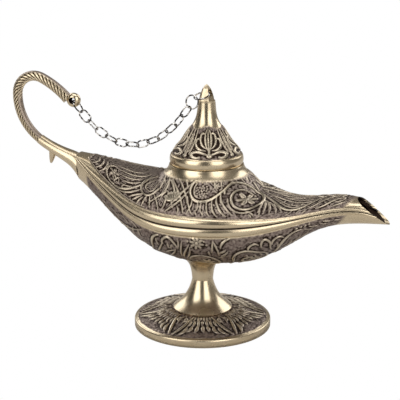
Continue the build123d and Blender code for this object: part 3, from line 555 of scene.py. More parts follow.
def noise(tree, scale, detail=3.0, stretch=None):
    coordinates = add(tree, "TexCoord").outputs["Object"]
    if stretch:
        coordinates = add(tree, "Mapping", Vector=coordinates, Scale=stretch).outputs["Vector"]
    return add(tree, "TexNoise", Vector=coordinates, Scale=scale, Detail=detail).outputs["Fac"]


# Colours: cast metal from its hollows to its ridges, where the hollows take painted shade, then polished
# metal and steel, whose black is painted dark reflection
PAINTED_SHADE_BROWN = (0.030, 0.019, 0.014)
GROUND_BRONZE = (0.255, 0.200, 0.175)
CLOUDED_BRONZE = (0.30, 0.235, 0.215)
RAISED_BRONZE = (0.33, 0.272, 0.235)
RUBBED_GOLD = (0.57, 0.49, 0.375)
RIDGE_GOLD = (0.72, 0.635, 0.485)
PALE_GOLD = (0.79, 0.675, 0.49)
WARM_GOLD = (0.66, 0.54, 0.365)
DULL_GOLD = (0.52, 0.42, 0.28)
BRIGHT_STEEL, PAINTED_REFLECTION_BLACK = (0.86, 0.84, 0.82), (0.030, 0.027, 0.025)
SCREW_GREY, SCREW_DARK = (0.45, 0.45, 0.46), (0.32, 0.32, 0.33)


def brushed(tree, bsdf, height, strength, depth, under=None):
    """Gives the shader a bump, on top of another where there is one."""
    bump = add(tree, "Bump", Strength=strength, Distance=depth, Height=height)
    if under:
        tree.links.new(under, bump.inputs["Normal"])
    tree.links.new(bump.outputs[0], bsdf.inputs["Normal"])


def make_brass():
    """Antique brass: polished where polish is 1, else painted shade in the hollows and rubbed bright on the
    ridges.
    """
    material, tree, bsdf = shader("antique_brass", 0.3)
    relief, hollow, polish = (layer(tree, name) for name in ("relief", "hollow", "polish"))
    cloud, fine = noise(tree, 90, 4.0), noise(tree, 1500, 2.0)
    uneven = math_node(tree, "MULTIPLY", math_node(tree, "SUBTRACT", fine, 0.42), 0.5)
    worn = math_node(tree, "ADD", relief, uneven, True)
    cast = ramp(tree, worn, (0.0, GROUND_BRONZE), (0.22, RAISED_BRONZE), (0.6, RUBBED_GOLD),
                (1.0, RIDGE_GOLD))
    cast = mixed_colour(tree, ramp(tree, cloud, (0.35, grey(0)), (0.7, grey(0.35))), cast, CLOUDED_BRONZE)
    # painted shade: hollows, flute grooves and inner faces are laid over with near black brown
    cast = mixed_colour(tree, ramp(tree, hollow, (0.50, grey(0)), (0.78, grey(1))), cast, PAINTED_SHADE_BROWN)
    polished = mixed_colour(tree, cloud, PALE_GOLD, WARM_GOLD)
    tree.links.new(mixed_colour(tree, polish, cast, polished), bsdf.inputs["Base Color"])
    rough = ramp(tree, worn, (0.0, grey(0.52)), (1.0, grey(0.27)))
    smooth = ramp(tree, cloud, (0.3, grey(0.22)), (0.7, grey(0.3)))
    tree.links.new(mixed_colour(tree, polish, rough, smooth), bsdf.inputs["Roughness"])
    grain = math_node(tree, "MULTIPLY", fine, math_node(tree, "SUBTRACT", 1.0, polish))
    bump = add(tree, "Bump", Strength=0.5, Distance=0.00012, Height=grain).outputs[0]
    brushed(tree, bsdf, noise(tree, 260, 2.0, (1.0, 1.0, 14.0)), 0.12, 0.00004, bump)
    return material


def make_polished():
    """Polished brass for small turned pieces without ornament."""
    material, tree, bsdf = shader("polished_brass", 0.3)
    cloud = noise(tree, 400, 3.0)
    tree.links.new(mixed_colour(tree, cloud, PALE_GOLD, DULL_GOLD), bsdf.inputs["Base Color"])
    tree.links.new(ramp(tree, cloud, (0.3, grey(0.24)), (0.7, grey(0.36))), bsdf.inputs["Roughness"])
    brushed(tree, bsdf, noise(tree, 900, 2.0, (1.0, 1.0, 9.0)), 0.15, 0.00004)
    return material


def make_steel(name, colour, dark, roughness, scratch):
    """Bright steel with dark stretches: on the chain they are black, painted dark reflections; on the screw
    and washer a darker grey tone.
    """
    material, tree, bsdf = shader(name, roughness)
    cloud = noise(tree, 620, 3.0)
    # the dark stretches: painted dark reflections on the chain, an uneven darker grey on the screw and washer
    tree.links.new(ramp(tree, cloud, (0.46, dark), (0.56, colour)), bsdf.inputs["Base Color"])
    dull = ramp(tree, cloud, (0.3, grey(roughness)), (0.7, grey(roughness + 0.12)))
    tree.links.new(dull, bsdf.inputs["Roughness"])
    brushed(tree, bsdf, noise(tree, 2600, 2.0), scratch, 0.00003)
    return material


BRASS = make_brass()
POLISHED = make_polished()
CHAIN_STEEL = make_steel("chain_steel", BRIGHT_STEEL, PAINTED_REFLECTION_BLACK, 0.12, 0.2)
SCREW_STEEL = make_steel("screw_steel", SCREW_GREY, SCREW_DARK, 0.36, 0.5)
# the solids that are shown as they are: material and width of their soft edges
SHOWN_SOLIDS = {"finial": (POLISHED, 0.22), "foot_screw": (SCREW_STEEL, 0.15),
                "foot_washer": (SCREW_STEEL, 0.15)}
for name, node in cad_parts.items():
    material, edge = SHOWN_SOLIDS.get(name, (CHAIN_STEEL if name.startswith("chain") else BRASS, None))
    for place in node.material_slots:
        place.link, place.material = "OBJECT", material
    if edge:
        bevel = node.modifiers.new("soft_edges", "BEVEL")
        bevel.width, bevel.segments, bevel.limit_method = edge * MM, 2, "ANGLE"


# Half widths that several strokes have, from start to end
SLIM, FINE, FULL, SHORT = (0.25, 0.5, 0.45, 0.2), (0.2, 0.45, 0.4, 0.2), (0.3, 0.6, 0.6, 0.3), (0.3, 0.5, 0.3)

# Ornament of the upper shell: half widths, then points (along the lamp, up from the band)

UPPER_STROKES = [
    # raised edge of the ornament beside the polished tail and along the band
    ((0.3, 0.45, 0.4, 0.3), [(-66.0, 10.5), (-62.0, 5.6), (-55.0, 3.6), (-45.0, 2.4), (-34.0, 1.9),
     (-24.0, 1.7)]),
    # big C scroll at the middle and the stem that it grows into
    ((0.4, 0.75, 0.85, 0.7, 0.6), [(8.2, 21.0), (6.6, 22.9), (3.6, 23.0), (1.2, 20.4), (0.4, 16.2),
     (1.6, 12.4), (4.4, 10.2), (7.4, 9.9), (11.0, 11.2), (14.4, 14.2), (17.6, 18.8), (20.4, 24.6)]),
    ((0.3, 0.45, 0.3), [(3.4, 20.4), (2.4, 17.0), (3.2, 13.6), (6.4, 11.8)]),
    # great spiral with its flower
    ((0.5, 0.8, 0.75, 0.7, 0.6, 0.45), [(18.0, 16.5), (18.7, 21.2), (21.6, 24.8), (25.8, 26.2),
     (30.6, 25.4), (34.6, 22.6), (36.6, 18.2), (36.4, 13.2), (34.0, 9.0), (30.4, 6.8), (26.2, 7.2),
     (22.8, 10.2), (21.5, 14.6), (22.6, 18.8), (25.6, 21.4), (29.6, 21.4), (32.4, 18.8)]),
    ((0.35, 0.5, 0.3), [(20.0, 13.4), (21.4, 9.0), (24.6, 5.4), (29.4, 4.4), (34.0, 6.2)]),
    # stem from the neck down to the band and along the spout
    ((0.5, 0.7, 0.7, 0.85, 0.85, 0.6), [(29.0, 32.0), (31.6, 28.0), (34.4, 24.2), (38.4, 19.4),
     (42.4, 14.2), (46.2, 9.2), (50.2, 6.0), (54.8, 5.6), (59.0, 7.6), (62.6, 11.0), (66.2, 14.2),
     (70.4, 15.6)]),
    ((0.3, 0.55, 0.5, 0.3), [(33.6, 31.0), (37.0, 26.6), (42.0, 22.4), (48.6, 17.6), (55.6, 13.0),
     (61.4, 11.4)]),
    ((0.2, 0.4, 0.35, 0.2), [(38.6, 24.2), (46.0, 15.6), (53.0, 10.2), (58.6, 9.6)]),
    ((0.2, 0.4, 0.35, 0.2), [(40.0, 20.4), (46.6, 12.6), (52.0, 8.2), (56.4, 7.6)]),
    (FINE, [(41.4, 26.4), (48.4, 21.4), (56.4, 16.0), (63.0, 14.2)]),
    (FINE, [(44.0, 29.4), (51.0, 24.4), (58.0, 19.4), (66.0, 17.4)]),
    # leaves that turn over one another on the spout
    ((0.3, 0.65, 0.7, 0.3), [(60.4, 4.4), (64.6, 6.6), (68.6, 10.2), (72.8, 12.4)]),
    (FULL, [(64.4, 3.2), (69.0, 4.6), (73.4, 8.0), (78.0, 10.0)]),
    ((0.3, 0.6, 0.5, 0.3), [(69.4, 9.4), (72.4, 13.4), (76.4, 13.0), (78.4, 9.4), (76.4, 6.6), (73.4, 7.0)]),
    (SHORT, [(72.6, 3.0), (76.4, 4.4), (79.6, 7.0)]),
    # leaves left of the C scroll: crossing blades with raised edges
    ((0.3, 0.6, 0.7, 0.5, 0.25), [(-13.6, 25.4), (-13.0, 20.6), (-14.0, 15.4), (-17.4, 9.6), (-22.0, 4.6)]),
    ((0.25, 0.6, 0.65, 0.3), [(-16.0, 12.4), (-11.4, 21.4), (-9.0, 16.4), (-6.0, 11.0)]),
    ((0.25, 0.55, 0.6, 0.3), [(-15.8, 7.2), (-12.0, 14.4), (-9.4, 9.6), (-7.6, 5.0)]),
    (FULL, [(-11.0, 22.6), (-6.8, 15.6), (-3.6, 9.4), (-1.4, 2.8)]),
    (FULL, [(-0.6, 15.0), (-4.0, 10.2), (-8.0, 5.6), (-11.6, 2.0)]),
    ((0.3, 0.6, 0.55, 0.25), [(0.4, 20.0), (-3.4, 15.0), (-7.2, 9.6), (-9.4, 5.8)]),
    ((0.25, 0.5, 0.5, 0.25), [(-8.0, 24.6), (-5.0, 19.4), (-2.2, 14.2), (-0.2, 8.6)]),
    ((0.25, 0.5, 0.5, 0.25), [(-4.6, 24.2), (-2.4, 20.6), (-1.0, 17.0)]),
    ((0.2, 0.5, 0.45, 0.2), [(-20.4, 12.0), (-17.6, 7.4), (-15.4, 2.2)]),
    ((0.2, 0.5, 0.45, 0.2), [(-13.0, 12.6), (-12.4, 7.4), (-13.6, 2.6)]),
    (FINE, [(-5.4, 6.2), (-4.2, 3.8), (-4.6, 1.8)]),
    ((0.4, 0.5, 0.5, 0.25), [(-0.4, 12.0), (1.0, 7.0), (3.4, 2.6)]),
    (SLIM, [(2.4, 10.8), (2.0, 6.6), (0.6, 2.6)]),
    # strands right of the C scroll
    ((0.3, 0.6, 0.6, 0.25), [(14.6, 13.4), (15.2, 9.6), (17.4, 5.6), (21.0, 2.2)]),
    ((0.3, 0.6, 0.55, 0.25), [(16.4, 15.6), (17.4, 11.0), (20.0, 7.0), (24.0, 3.0)]),
    ((0.25, 0.5, 0.5, 0.2), [(12.6, 11.4), (13.0, 7.8), (14.4, 4.4), (16.8, 1.8)]),
    (SLIM, [(10.0, 10.2), (10.4, 7.0), (11.2, 4.2), (13.0, 1.8)]),
    (FINE, [(12.0, 24.0), (12.4, 20.6), (14.4, 17.2)]),
    (FINE, [(15.8, 25.6), (15.4, 22.0), (16.4, 19.2)]),
    # pointed loop before the neck
    ((0.4, 0.65, 0.65, 0.65, 0.4), [(-22.6, 29.0), (-27.4, 21.0), (-28.6, 14.4), (-26.2, 9.4), (-22.6, 9.4),
     (-19.2, 14.0), (-17.2, 20.0), (-16.6, 26.0)]),
    ((0.25, 0.45, 0.45, 0.25), [(-22.0, 25.0), (-25.4, 19.0), (-25.4, 13.6), (-22.8, 12.4), (-20.4, 17.0),
     (-19.8, 22.6)]),
    # tail: a half round of leaf tips, a flower in a scroll and long strands to the neck
    (SHORT, [(-60.0, 6.2), (-57.8, 9.4), (-58.4, 14.6)]),
    ((0.3, 0.55, 0.3), [(-57.4, 5.0), (-54.9, 9.0), (-55.6, 15.4)]),
    ((0.3, 0.55, 0.3), [(-54.6, 4.6), (-52.2, 9.0), (-53.0, 16.0)]),
    ((0.4, 0.65, 0.6, 0.4), [(-44.6, 4.4), (-48.8, 5.0), (-51.0, 8.6), (-50.2, 13.4), (-46.8, 16.6)]),
    (SHORT, [(-48.4, 6.6), (-47.0, 9.4), (-45.0, 6.6), (-43.4, 9.4), (-42.0, 6.8)]),
    ((0.3, 0.6, 0.7, 0.65, 0.5, 0.3), [(-50.4, 6.0), (-46.4, 3.9), (-41.0, 4.4), (-35.4, 7.6),
     (-30.6, 12.4), (-27.6, 18.6), (-26.0, 26.0)]),
    ((0.25, 0.5, 0.55, 0.5, 0.3), [(-42.0, 2.9), (-37.0, 4.4), (-32.0, 7.6), (-28.6, 11.0)]),
    ((0.25, 0.55, 0.55, 0.45, 0.25), [(-46.6, 15.6), (-41.0, 17.4), (-35.0, 19.6), (-30.0, 23.4),
     (-27.0, 29.6)]),
    ((0.25, 0.5, 0.5, 0.4, 0.25), [(-44.4, 13.0), (-39.4, 14.0), (-34.0, 16.4), (-29.6, 20.6)]),
    ((0.2, 0.45, 0.45, 0.3), [(-42.4, 10.4), (-37.6, 11.2), (-33.0, 13.6), (-30.0, 16.6)]),
    ((0.2, 0.4, 0.4, 0.2), [(-41.0, 8.0), (-37.0, 8.6), (-33.4, 10.6)]),
    ((0.2, 0.45, 0.45, 0.2), [(-48.0, 18.0), (-41.6, 20.6), (-35.4, 23.4), (-30.6, 29.0)]),
    # frond that fans down to the band
    ((0.3, 0.55, 0.5, 0.2), [(-26.0, 9.0), (-30.0, 6.6), (-34.0, 3.2)]),
    (SLIM, [(-26.6, 7.6), (-29.6, 4.8), (-32.0, 2.2)]),
    (SLIM, [(-25.6, 7.0), (-27.6, 4.2), (-29.0, 1.8)]),
    (SLIM, [(-23.6, 8.2), (-24.6, 5.2), (-25.6, 2.0)]),
    (SLIM, [(-21.8, 9.0), (-21.2, 5.6), (-20.8, 2.2)]),
]
# blades by bend share and half width: foot and tip
UPPER_BLADES = {
    (0.1, 0.6): [(-17.6, 24.6, -15.4, 19.0), (-15.0, 24.0, -12.4, 27.6), (39.2, 14.4, 44.8, 3.8),
        (63.4, 16.6, 65.0, 22.0), (57.0, 20.4, 58.0, 26.6), (50.4, 25.4, 50.4, 31.6),
        (36.4, 28.4, 35.4, 34.6), (40.4, 30.4, 40.0, 36.6), (27.0, 30.0, 25.0, 34.6)],
    (0.1, 0.5): [(-62.6, 8.0, -62.2, 12.6), (40.8, 12.8, 47.2, 4.8), (73.6, 11.4, 75.0, 15.4),
        (69.0, 14.8, 71.0, 19.0), (25.0, 28.2, 22.6, 31.6), (22.0, 26.6, 19.6, 28.4)],
    (0.1, 0.45): [(52.4, 5.0, 49.6, 2.0), (56.4, 5.4, 54.6, 2.2), (65.0, 8.4, 66.6, 12.4)],
    (0.15, 0.45): [(-39.4, 5.6, -38.0, 8.4), (-35.4, 9.6, -35.6, 6.6)],
    (-0.1, 0.4): [(9.0, 4.8, 9.4, 1.6), (5.0, 4.6, 6.4, 1.6)],
    (0.12, 0.5): [(30.0, 5.6, 34.4, 2.4), (68.4, 7.6, 69.4, 4.6)],
    (0.1, 0.4): [(32.0, 3.4, 33.4, 1.6), (59.6, 4.0, 57.4, 1.8)],
    (-0.1, 0.5): [(44.6, 13.0, 47.0, 17.6), (48.0, 9.4, 51.4, 13.6)],
    (0.15, 0.5): [(-34.0, 20.6, -36.6, 23.6)],
    (0.1, 0.55): [(5.6, 9.2, 5.2, 4.0)],
    (-0.1, 0.6): [(7.4, 9.2, 8.4, 3.4)],
    (0.03, 0.6): [(36.6, 16.4, 36.0, 4.4)],
    (0.04, 0.65): [(37.4, 16.0, 38.8, 3.8)],
    (0.07, 0.65): [(38.2, 15.4, 41.6, 3.6)],
    (0.08, 0.5): [(36.0, 7.4, 36.8, 2.0)],
    (-0.12, 0.45): [(53.6, 8.4, 57.4, 11.6)],
}
# bead fields inside the C scroll and the pointed loop, and a half rosette of leaves beside the scroll
SCROLL_BEADS, LOOP_BEADS, ROSETTE = (6.8, 15.8), (-23.0, 17.8), (-7.5, 8.0)
BEAD_COUNT, BEAD_TURN, BEAD_GAP = 26, 2.4, 0.78
ROSETTE_LEAVES, ROSETTE_START, ROSETTE_STEP = 6, 58, 17
# filler leaves: low and high corners of a patch, heading, spread, reach
UPPER_FILLS = [
    ((-62.0, 3.0), (-28.0, 32.0), 25.0, 30.0, 2.6), ((-28.0, 4.4), (1.0, 30.0), 72.0, 20.0, 2.2),
    ((2.0, 4.4), (24.0, 10.0), -70.0, 25.0, 2.0), ((20.0, 22.0), (46.0, 40.0), -40.0, 45.0, 2.4),
    ((40.0, 3.4), (82.0, 24.0), 24.0, 26.0, 2.2), ((8.0, 16.0), (20.0, 26.0), 80.0, 60.0, 1.8),
]


def draw_upper():
    sheet = Relief((-72, -1), (104, 44))
    sheet.draw(UPPER_STROKES, UPPER_BLADES)
    sheet.flower((29.0, 15.0), 4.2, 6, 0.3)
    sheet.flower((-46.4, 11.0), 2.6, 5, 0.3)
    sheet.flower((13.4, 20.4), 1.6, 6)
    for k in range(BEAD_COUNT):
        angle, reach = BEAD_TURN * k, BEAD_GAP * math.sqrt(k)
        sheet.stamp(sheet.rise, polar(SCROLL_BEADS, reach, angle), 0.55, 0.62)
        across, up = 0.75 * reach * math.cos(angle), 1.1 * reach * math.sin(angle)
        sheet.stamp(sheet.rise, (LOOP_BEADS[0] + across, LOOP_BEADS[1] + up), 0.5, 0.5)
    for k in range(ROSETTE_LEAVES):
        angle = math.radians(ROSETTE_START + ROSETTE_STEP * k)
        sheet.blade(polar(ROSETTE, 2.2, angle), polar(ROSETTE, 7.4, angle), 0.15, 1.5)
    for patch in UPPER_FILLS:
        sheet.fill(*patch)
    sheet.settle()
    return sheet


# Ornament of the lower shell: points (along the lamp, down from the band)

LOWER_STROKES = [
    ((0.4, 0.7, 0.8, 0.5), [(-20.4, 13.6), (-20.0, 8.0), (-18.4, 3.6), (-15.6, 1.9)]),
    ((0.5, 0.75, 0.75, 0.6, 0.4), [(-13.2, 6.6), (-12.4, 3.0), (-10.2, 1.9), (-7.2, 3.8), (-5.0, 7.2)]),
    ((0.3, 0.6, 0.5, 0.25), [(-17.6, 17.4), (-16.2, 12.6), (-14.4, 8.6), (-13.2, 5.4)]),
    ((0.25, 0.5, 0.5, 0.3), [(-12.6, 14.2), (-10.4, 12.2), (-8.2, 10.8), (-6.2, 9.8)]),
    ((0.25, 0.55, 0.5, 0.3), [(-11.4, 19.6), (-9.0, 15.4), (-7.2, 12.2), (-6.2, 9.4)]),
    ((0.3, 0.6, 0.5, 0.2), [(-3.6, 16.2), (-3.3, 10.6), (-2.6, 6.4), (-1.9, 2.8)]),
    ((0.3, 0.6, 0.5, 0.2), [(-2.6, 17.2), (-1.5, 11.6), (0.3, 7.8), (1.8, 4.6)]),
    ((0.3, 0.6, 0.4, 0.2), [(-1.0, 17.4), (0.9, 12.8), (1.9, 9.0), (2.1, 6.4)]),
    ((0.4, 0.7, 0.7, 0.3), [(0.4, 18.6), (1.9, 15.2), (4.4, 13.5), (7.8, 13.0)]),
    ((0.25, 0.55, 0.45, 0.2), [(14.6, 1.8), (14.2, 5.6), (13.6, 9.6)]),
    ((0.25, 0.55, 0.45, 0.2), [(14.6, 1.8), (16.2, 5.8), (17.0, 12.4)]),
    ((0.3, 0.7, 0.6, 0.3), [(18.4, 6.4), (19.6, 3.0), (21.8, 1.2), (23.8, 0.6)]),
    ((0.4, 0.75, 0.8, 0.7, 0.4), [(22.4, 22.4), (23.6, 16.2), (25.4, 12.2), (28.6, 10.2), (33.0, 11.2),
     (38.2, 14.6)]),
    ((0.3, 0.65, 0.65, 0.3), [(31.8, 10.2), (32.4, 7.2), (34.4, 5.9), (36.8, 7.4)]),
    ((0.3, 0.65, 0.7, 0.5, 0.3), [(38.2, 9.6), (38.3, 6.2), (39.8, 4.2), (41.8, 5.6), (42.3, 9.6),
     (42.4, 13.6)]),
    ((0.3, 0.65, 0.65, 0.3), [(43.4, 9.0), (44.4, 5.6), (46.4, 4.6), (49.0, 6.0)]),
    ((0.4, 0.7, 0.85, 0.7, 0.3), [(42.6, 19.4), (46.0, 13.2), (49.6, 7.4), (53.0, 4.8), (57.6, 4.2)]),
    # turned to the underside
    ((0.4, 0.7, 0.7, 0.5), [(7.8, 13.0), (12.6, 14.6), (15.6, 19.6), (14.0, 26.0), (8.6, 28.6), (3.6, 25.4),
     (3.6, 20.6)]),
    ((0.4, 0.7, 0.7, 0.5), [(38.2, 14.6), (39.4, 20.4), (36.0, 26.4), (30.4, 27.6), (27.0, 23.6),
     (28.4, 18.8), (32.4, 17.8)]),
    ((0.4, 0.7, 0.6, 0.3), [(-20.4, 13.6), (-21.8, 20.4), (-19.0, 27.4), (-13.0, 31.0), (-8.0, 28.0),
     (-9.4, 23.0)]),
    (FULL, [(-26.0, 3.0), (-32.0, 6.2), (-39.0, 8.8), (-47.0, 9.4), (-56.0, 8.0)]),
    (SHORT, [(-24.0, 12.0), (-30.0, 16.0), (-38.0, 18.4), (-46.0, 17.0)]),
]
LOWER_BLADES = {
    (0.12, 0.6): [(48.0, 17.0, 52.4, 11.0), (52.0, 15.0, 56.6, 9.4), (-28.0, 3.6, -26.4, 9.0),
        (-31.6, 5.2, -31.2, 10.6), (-35.4, 6.8, -36.0, 12.4), (-39.6, 8.0, -41.0, 13.4),
        (-44.0, 8.8, -46.4, 13.6), (-36.0, 17.6, -38.0, 23.0), (-31.0, 16.0, -31.4, 22.6)],
    (0.1, 0.6): [(17.0, 14.4, 20.4, 12.0), (-10.2, 5.4, -9.4, 9.6), (29.4, 20.0, 30.2, 14.2),
        (33.2, 22.0, 33.8, 15.4), (68.4, 2.4, 72.0, 3.2), (41.6, 21.4, 45.6, 25.4),
        (-5.0, 22.0, -7.0, 26.6)],
    (0.12, 0.5): [(59.0, 4.6, 63.0, 6.2), (61.4, 3.6, 66.0, 4.6), (-29.0, 3.4, -33.4, 1.6),
        (-34.6, 4.6, -39.6, 2.8), (-41.0, 6.6, -46.4, 4.6), (-47.8, 7.4, -53.0, 5.2),
        (-50.0, 8.8, -53.2, 12.4)],
    (0.1, 0.5): [(12.2, 8.6, 12.6, 12.6), (-17.0, 4.4, -15.8, 9.0), (-7.8, 6.2, -8.6, 10.0),
        (36.6, 19.0, 36.4, 14.6), (45.2, 12.6, 45.4, 8.2)],
    (0.1, 0.7): [(24.0, 27.0, 27.0, 33.0), (20.6, 26.0, 20.4, 33.6), (-2.0, 22.6, -2.4, 30.0)],
    (0.1, 0.55): [(-4.8, 8.2, -4.4, 2.0), (74.0, 3.0, 77.0, 3.4)],
    (0.12, 0.75): [(17.4, 10.0, 20.8, 7.4)],
    (0.12, 0.7): [(18.0, 12.8, 22.0, 8.4)],
    (0.12, 0.55): [(56.4, 12.0, 61.0, 7.4)],
    (0.12, 0.45): [(66.8, 3.4, 70.4, 5.2)],
}
BEADS = [(55.4, 2.6), (57.6, 2.4), (59.6, 2.4), (61.6, 2.2), (1.4, 2.6), (3.0, 6.2), (10.0, 2.2), (11.4, 4.4)]


def draw_lower():
    sheet = Relief((-72, -1), (108, 50))
    sheet.draw(LOWER_STROKES, LOWER_BLADES)
    sheet.flower((6.2, 3.4), 3.2, 8, 0.2)
    sheet.flower((33.4, 21.6), 2.6, 6)
    sheet.flower((9.4, 20.8), 3.0, 6)
    for place in BEADS:
        sheet.stamp(sheet.rise, place, 0.6, 0.8)
    sheet.settle()
    return sheet


# Grid of a shell: rows from the seam to the crest or keel, columns along the body
BAND_ROWS, SIDE_ROWS, BODY_COLUMNS, SIDE_CROWDING = 14, 116, 540, 0.9
INSIDE_ROWS, INSIDE_COLUMNS, MOUTH_FLARE_COLUMNS = 40, 160, 8
NECK_SIDES, BORE_SIDES, STEM_SIDES, SPIGOT_SIDES = 420, 200, 160, 80
NECK_CUT, NECK_LAP, NECK_LIFT, NECK_EDGE, MOUTH_LIP_SHARE = 22.3, 1.2, 0.02, 0.12, 0.3
SEAM_SHADE, SEAM_SHADE_FALL = 1.8, 14
# inner faces, the seam face and the knob's hole: painted shade at full strength, unpolished
SHADED_INSIDE = {"hollow": 1.0, "polish": 0.0}
# where the metal is polished: both ends of the body, round the neck, and an edge beside the upper band
SPOUT_POLISH, SPOUT_POLISH_LEAN, SPOUT_POLISH_PIVOT, SPOUT_POLISH_DROP = 79.0, 0.5, 4.0, 0.6
TAIL_POLISH, NECK_POLISH_RADIUS, NECK_POLISH_HEIGHT = -63.0, 23.4, 80
SPOUT_FADE, TAIL_FADE, NECK_FADE, EDGE_FADE = 2.4, 1.2, 1.0, 0.5
TAIL_EDGE = [(-71.0, 9.0), (-65.0, 7.0), (-61.0, 4.4), (-55.0, 2.8), (-45.0, 1.8), (-24.0, 1.0)]


def polish_share(x, run, height, radius, up):
    """How polished the metal of a shell is."""
    lean = SPOUT_POLISH_LEAN * (run - SPOUT_POLISH_PIVOT) if up > 0 else -SPOUT_POLISH_DROP * run
    spout, tail = fade(x - SPOUT_POLISH - lean, SPOUT_FADE), fade(TAIL_POLISH - x, TAIL_FADE)
    flare = fade(NECK_POLISH_RADIUS - radius, NECK_FADE) * (height > NECK_POLISH_HEIGHT)
    border = np.interp(x, *zip(*TAIL_EDGE)) if up > 0 else 1.0
    return np.maximum.reduce([spout, tail, flare, fade(border - run, EDGE_FADE)])


def dressed_side(skin, sheet, side, up):
    """Adds both sides of a shell with their ornament; the upper shell rises to the neck."""
    far = np.hypot(side[..., 0] - NECK_X, side[..., 1])
    if up > 0:
        side[..., 2] = np.maximum(side[..., 2], shoulder_height(far))
    run = run_length(side)
    polish = polish_share(side[..., 0], run, side[..., 2], far, up)
    relief, hollow = sheet.finish(side[..., 0], run, polish)
    grid = both_sides(side)
    grid = grid + normals(grid) * (up * RELIEF_HEIGHT * twice(relief))[..., None]
    keep = twice(far) > NECK_CUT if up > 0 else None
    skin.add(grid, twice(relief), twice(hollow), twice(polish), flip=up < 0, keep=keep)


def shell_skin(sheet, up, band_share):
    """A body shell without its neck or stem: sides, inside, bands, mouth rim, seam face and tail end."""
    skin = Skin()
    start = STATION_PLACES[0]
    rows = np.linspace(0, 1, SIDE_ROWS) ** SIDE_CROWDING
    side = trimmed(dome_points, rows, BODY_COLUMNS, up, band_share, start)
    dressed_side(skin, sheet, side, up)
    hollow_start = start + BODY_LENGTH * CAVITY_START_SHARE
    inside = trimmed(cavity_points, np.linspace(0, 1, INSIDE_ROWS), INSIDE_COLUMNS, up, 0, hollow_start)
    inner = both_sides(inside[:, :1 - MOUTH_FLARE_COLUMNS])
    bored = np.hypot(inner[..., 0] - NECK_X, inner[..., 1]) > NECK_BORE if up > 0 else None
    skin.add(inner, flip=up > 0, keep=bored, **SHADED_INSIDE)
    band = trimmed(band_points, np.linspace(0, 1, BAND_ROWS), BODY_COLUMNS, up, band_share, start)
    edge = np.concatenate([band[:, -1], side[1:, -1]])
    wall = inside[np.linspace(0, len(inside) - 1, len(edge)).astype(int), -MOUTH_FLARE_COLUMNS]
    rim = between(edge, wall, MOUTH_LIP_SHARE)
    seam_wall = trimmed(cavity_points, np.zeros(1), BODY_COLUMNS, up, 0, start)[0]
    line = fade(SEAM_SHADE - SEAM_SHADE_FALL * np.linspace(0, 1, BAND_ROWS))[:, None]
    for way in (1, -1):
        turn = np.array([1, way, 1])
        skin.add(band * turn, hollow=line, polish=1 - line, flip=way * up < 0)
        skin.add(np.stack([edge, rim], 1) * turn, flip=way * up < 0)
        skin.add(np.stack([rim, wall], 1) * turn, flip=way * up < 0, **SHADED_INSIDE)
        skin.add(np.stack([band[0], seam_wall]) * turn, flip=way * up > 0, **SHADED_INSIDE)
    end = np.concatenate([band[:, 0], side[1:, 0]])
    skin.add(np.stack([end, mirrored(end)]), flip=up > 0)
    return skin


def make_upper_shell():
    skin = shell_skin(draw_upper(), 1, UPPER_BAND_SHARE)
    outline = [(radius + NECK_LIFT, height - NECK_EDGE) for radius, height in SHOULDER_LINE
               if radius < NECK_CUT + NECK_LAP]
    skin.turn([(NECK_RADIUS - NECK_EDGE, NECK_TOP), *outline[3::12]], NECK_X, NECK_SIDES, TURN_PITCH,
              flip=True)
    bore = [(NECK_BORE, NECK_TOP - NECK_BORE_DEPTH), (NECK_BORE, NECK_TOP - NECK_EDGE),
            (NECK_BORE + NECK_EDGE, NECK_TOP), (NECK_RADIUS - NECK_EDGE, NECK_TOP)]
    skin.turn(bore, NECK_X, BORE_SIDES, flip=True)
    skin.mesh("upper_shell_relief", BRASS, "lamp", "upper_shell")


def make_lower_shell():
    skin = shell_skin(draw_lower(), -1, LOWER_BAND_SHARE)
    rise = BODY_BOTTOM + BODY_WALL / 2 - CONE_TOP
    stem = [(between(STEM_RADIUS, STEM_TOP_RADIUS, out), CONE_TOP + rise * up)
            for out, up in STEM_FLARE_SHARES]
    skin.turn(stem, 0, STEM_SIDES, TURN_PITCH)
    spigot = [(SPIGOT_RADIUS, CONE_TOP - SPIGOT_LENGTH), (SPIGOT_RADIUS, CONE_TOP), (STEM_RADIUS, CONE_TOP)]
    skin.turn(spigot, 0, SPIGOT_SIDES)
    skin.mesh("lower_shell_relief", BRASS, "lamp", "lower_shell")


# Lid: four palmettes with upright leaves between them

LID_SECTORS, LID_SHEET_SCALE = 4, 0.25
LID_SPAN = 360 / LID_SECTORS * LID_SHEET_SCALE
LID_FRONT = -71.0
# the bell is polished above a wavy line, and along its foot
LID_TOP_POLISH, LID_TOP_WAVE, LID_TOP_FADE, LID_FOOT_POLISH, LID_FOOT_FADE = 24.4, 0.9, 0.8, 1.3, 0.4
LID_BAND_POINTS, LID_BAND_SIDES, LID_TOP_SIDES, LID_INSIDE_SIDES = 16, 360, 60, 160
BELL_SIDES, BELL_PITCH = 900, 0.24
PALMETTE_HALVES = [
    ((0.3, 0.75, 0.85, 0.5), [(0.6, 12.0), (1.5, 15.4), (2.0, 19.0), (1.2, 23.4)]),
    ((0.3, 0.75, 0.8, 0.6), [(1.2, 12.8), (3.4, 14.6), (4.9, 17.8), (4.6, 21.2), (3.0, 21.4)]),
    ((0.3, 0.8, 0.85, 0.6), [(1.6, 11.6), (4.6, 12.2), (7.1, 14.4), (7.6, 17.4), (6.0, 18.4)]),
    ((0.5, 0.9, 0.9, 0.6), [(1.4, 9.4), (4.0, 10.4), (6.8, 10.4), (8.2, 8.8), (6.8, 7.5), (4.4, 7.7)]),
    ((0.25, 0.55, 0.55, 0.3), [(9.3, 9.0), (8.8, 15.0), (8.5, 20.0), (8.9, 25.0)]),
]


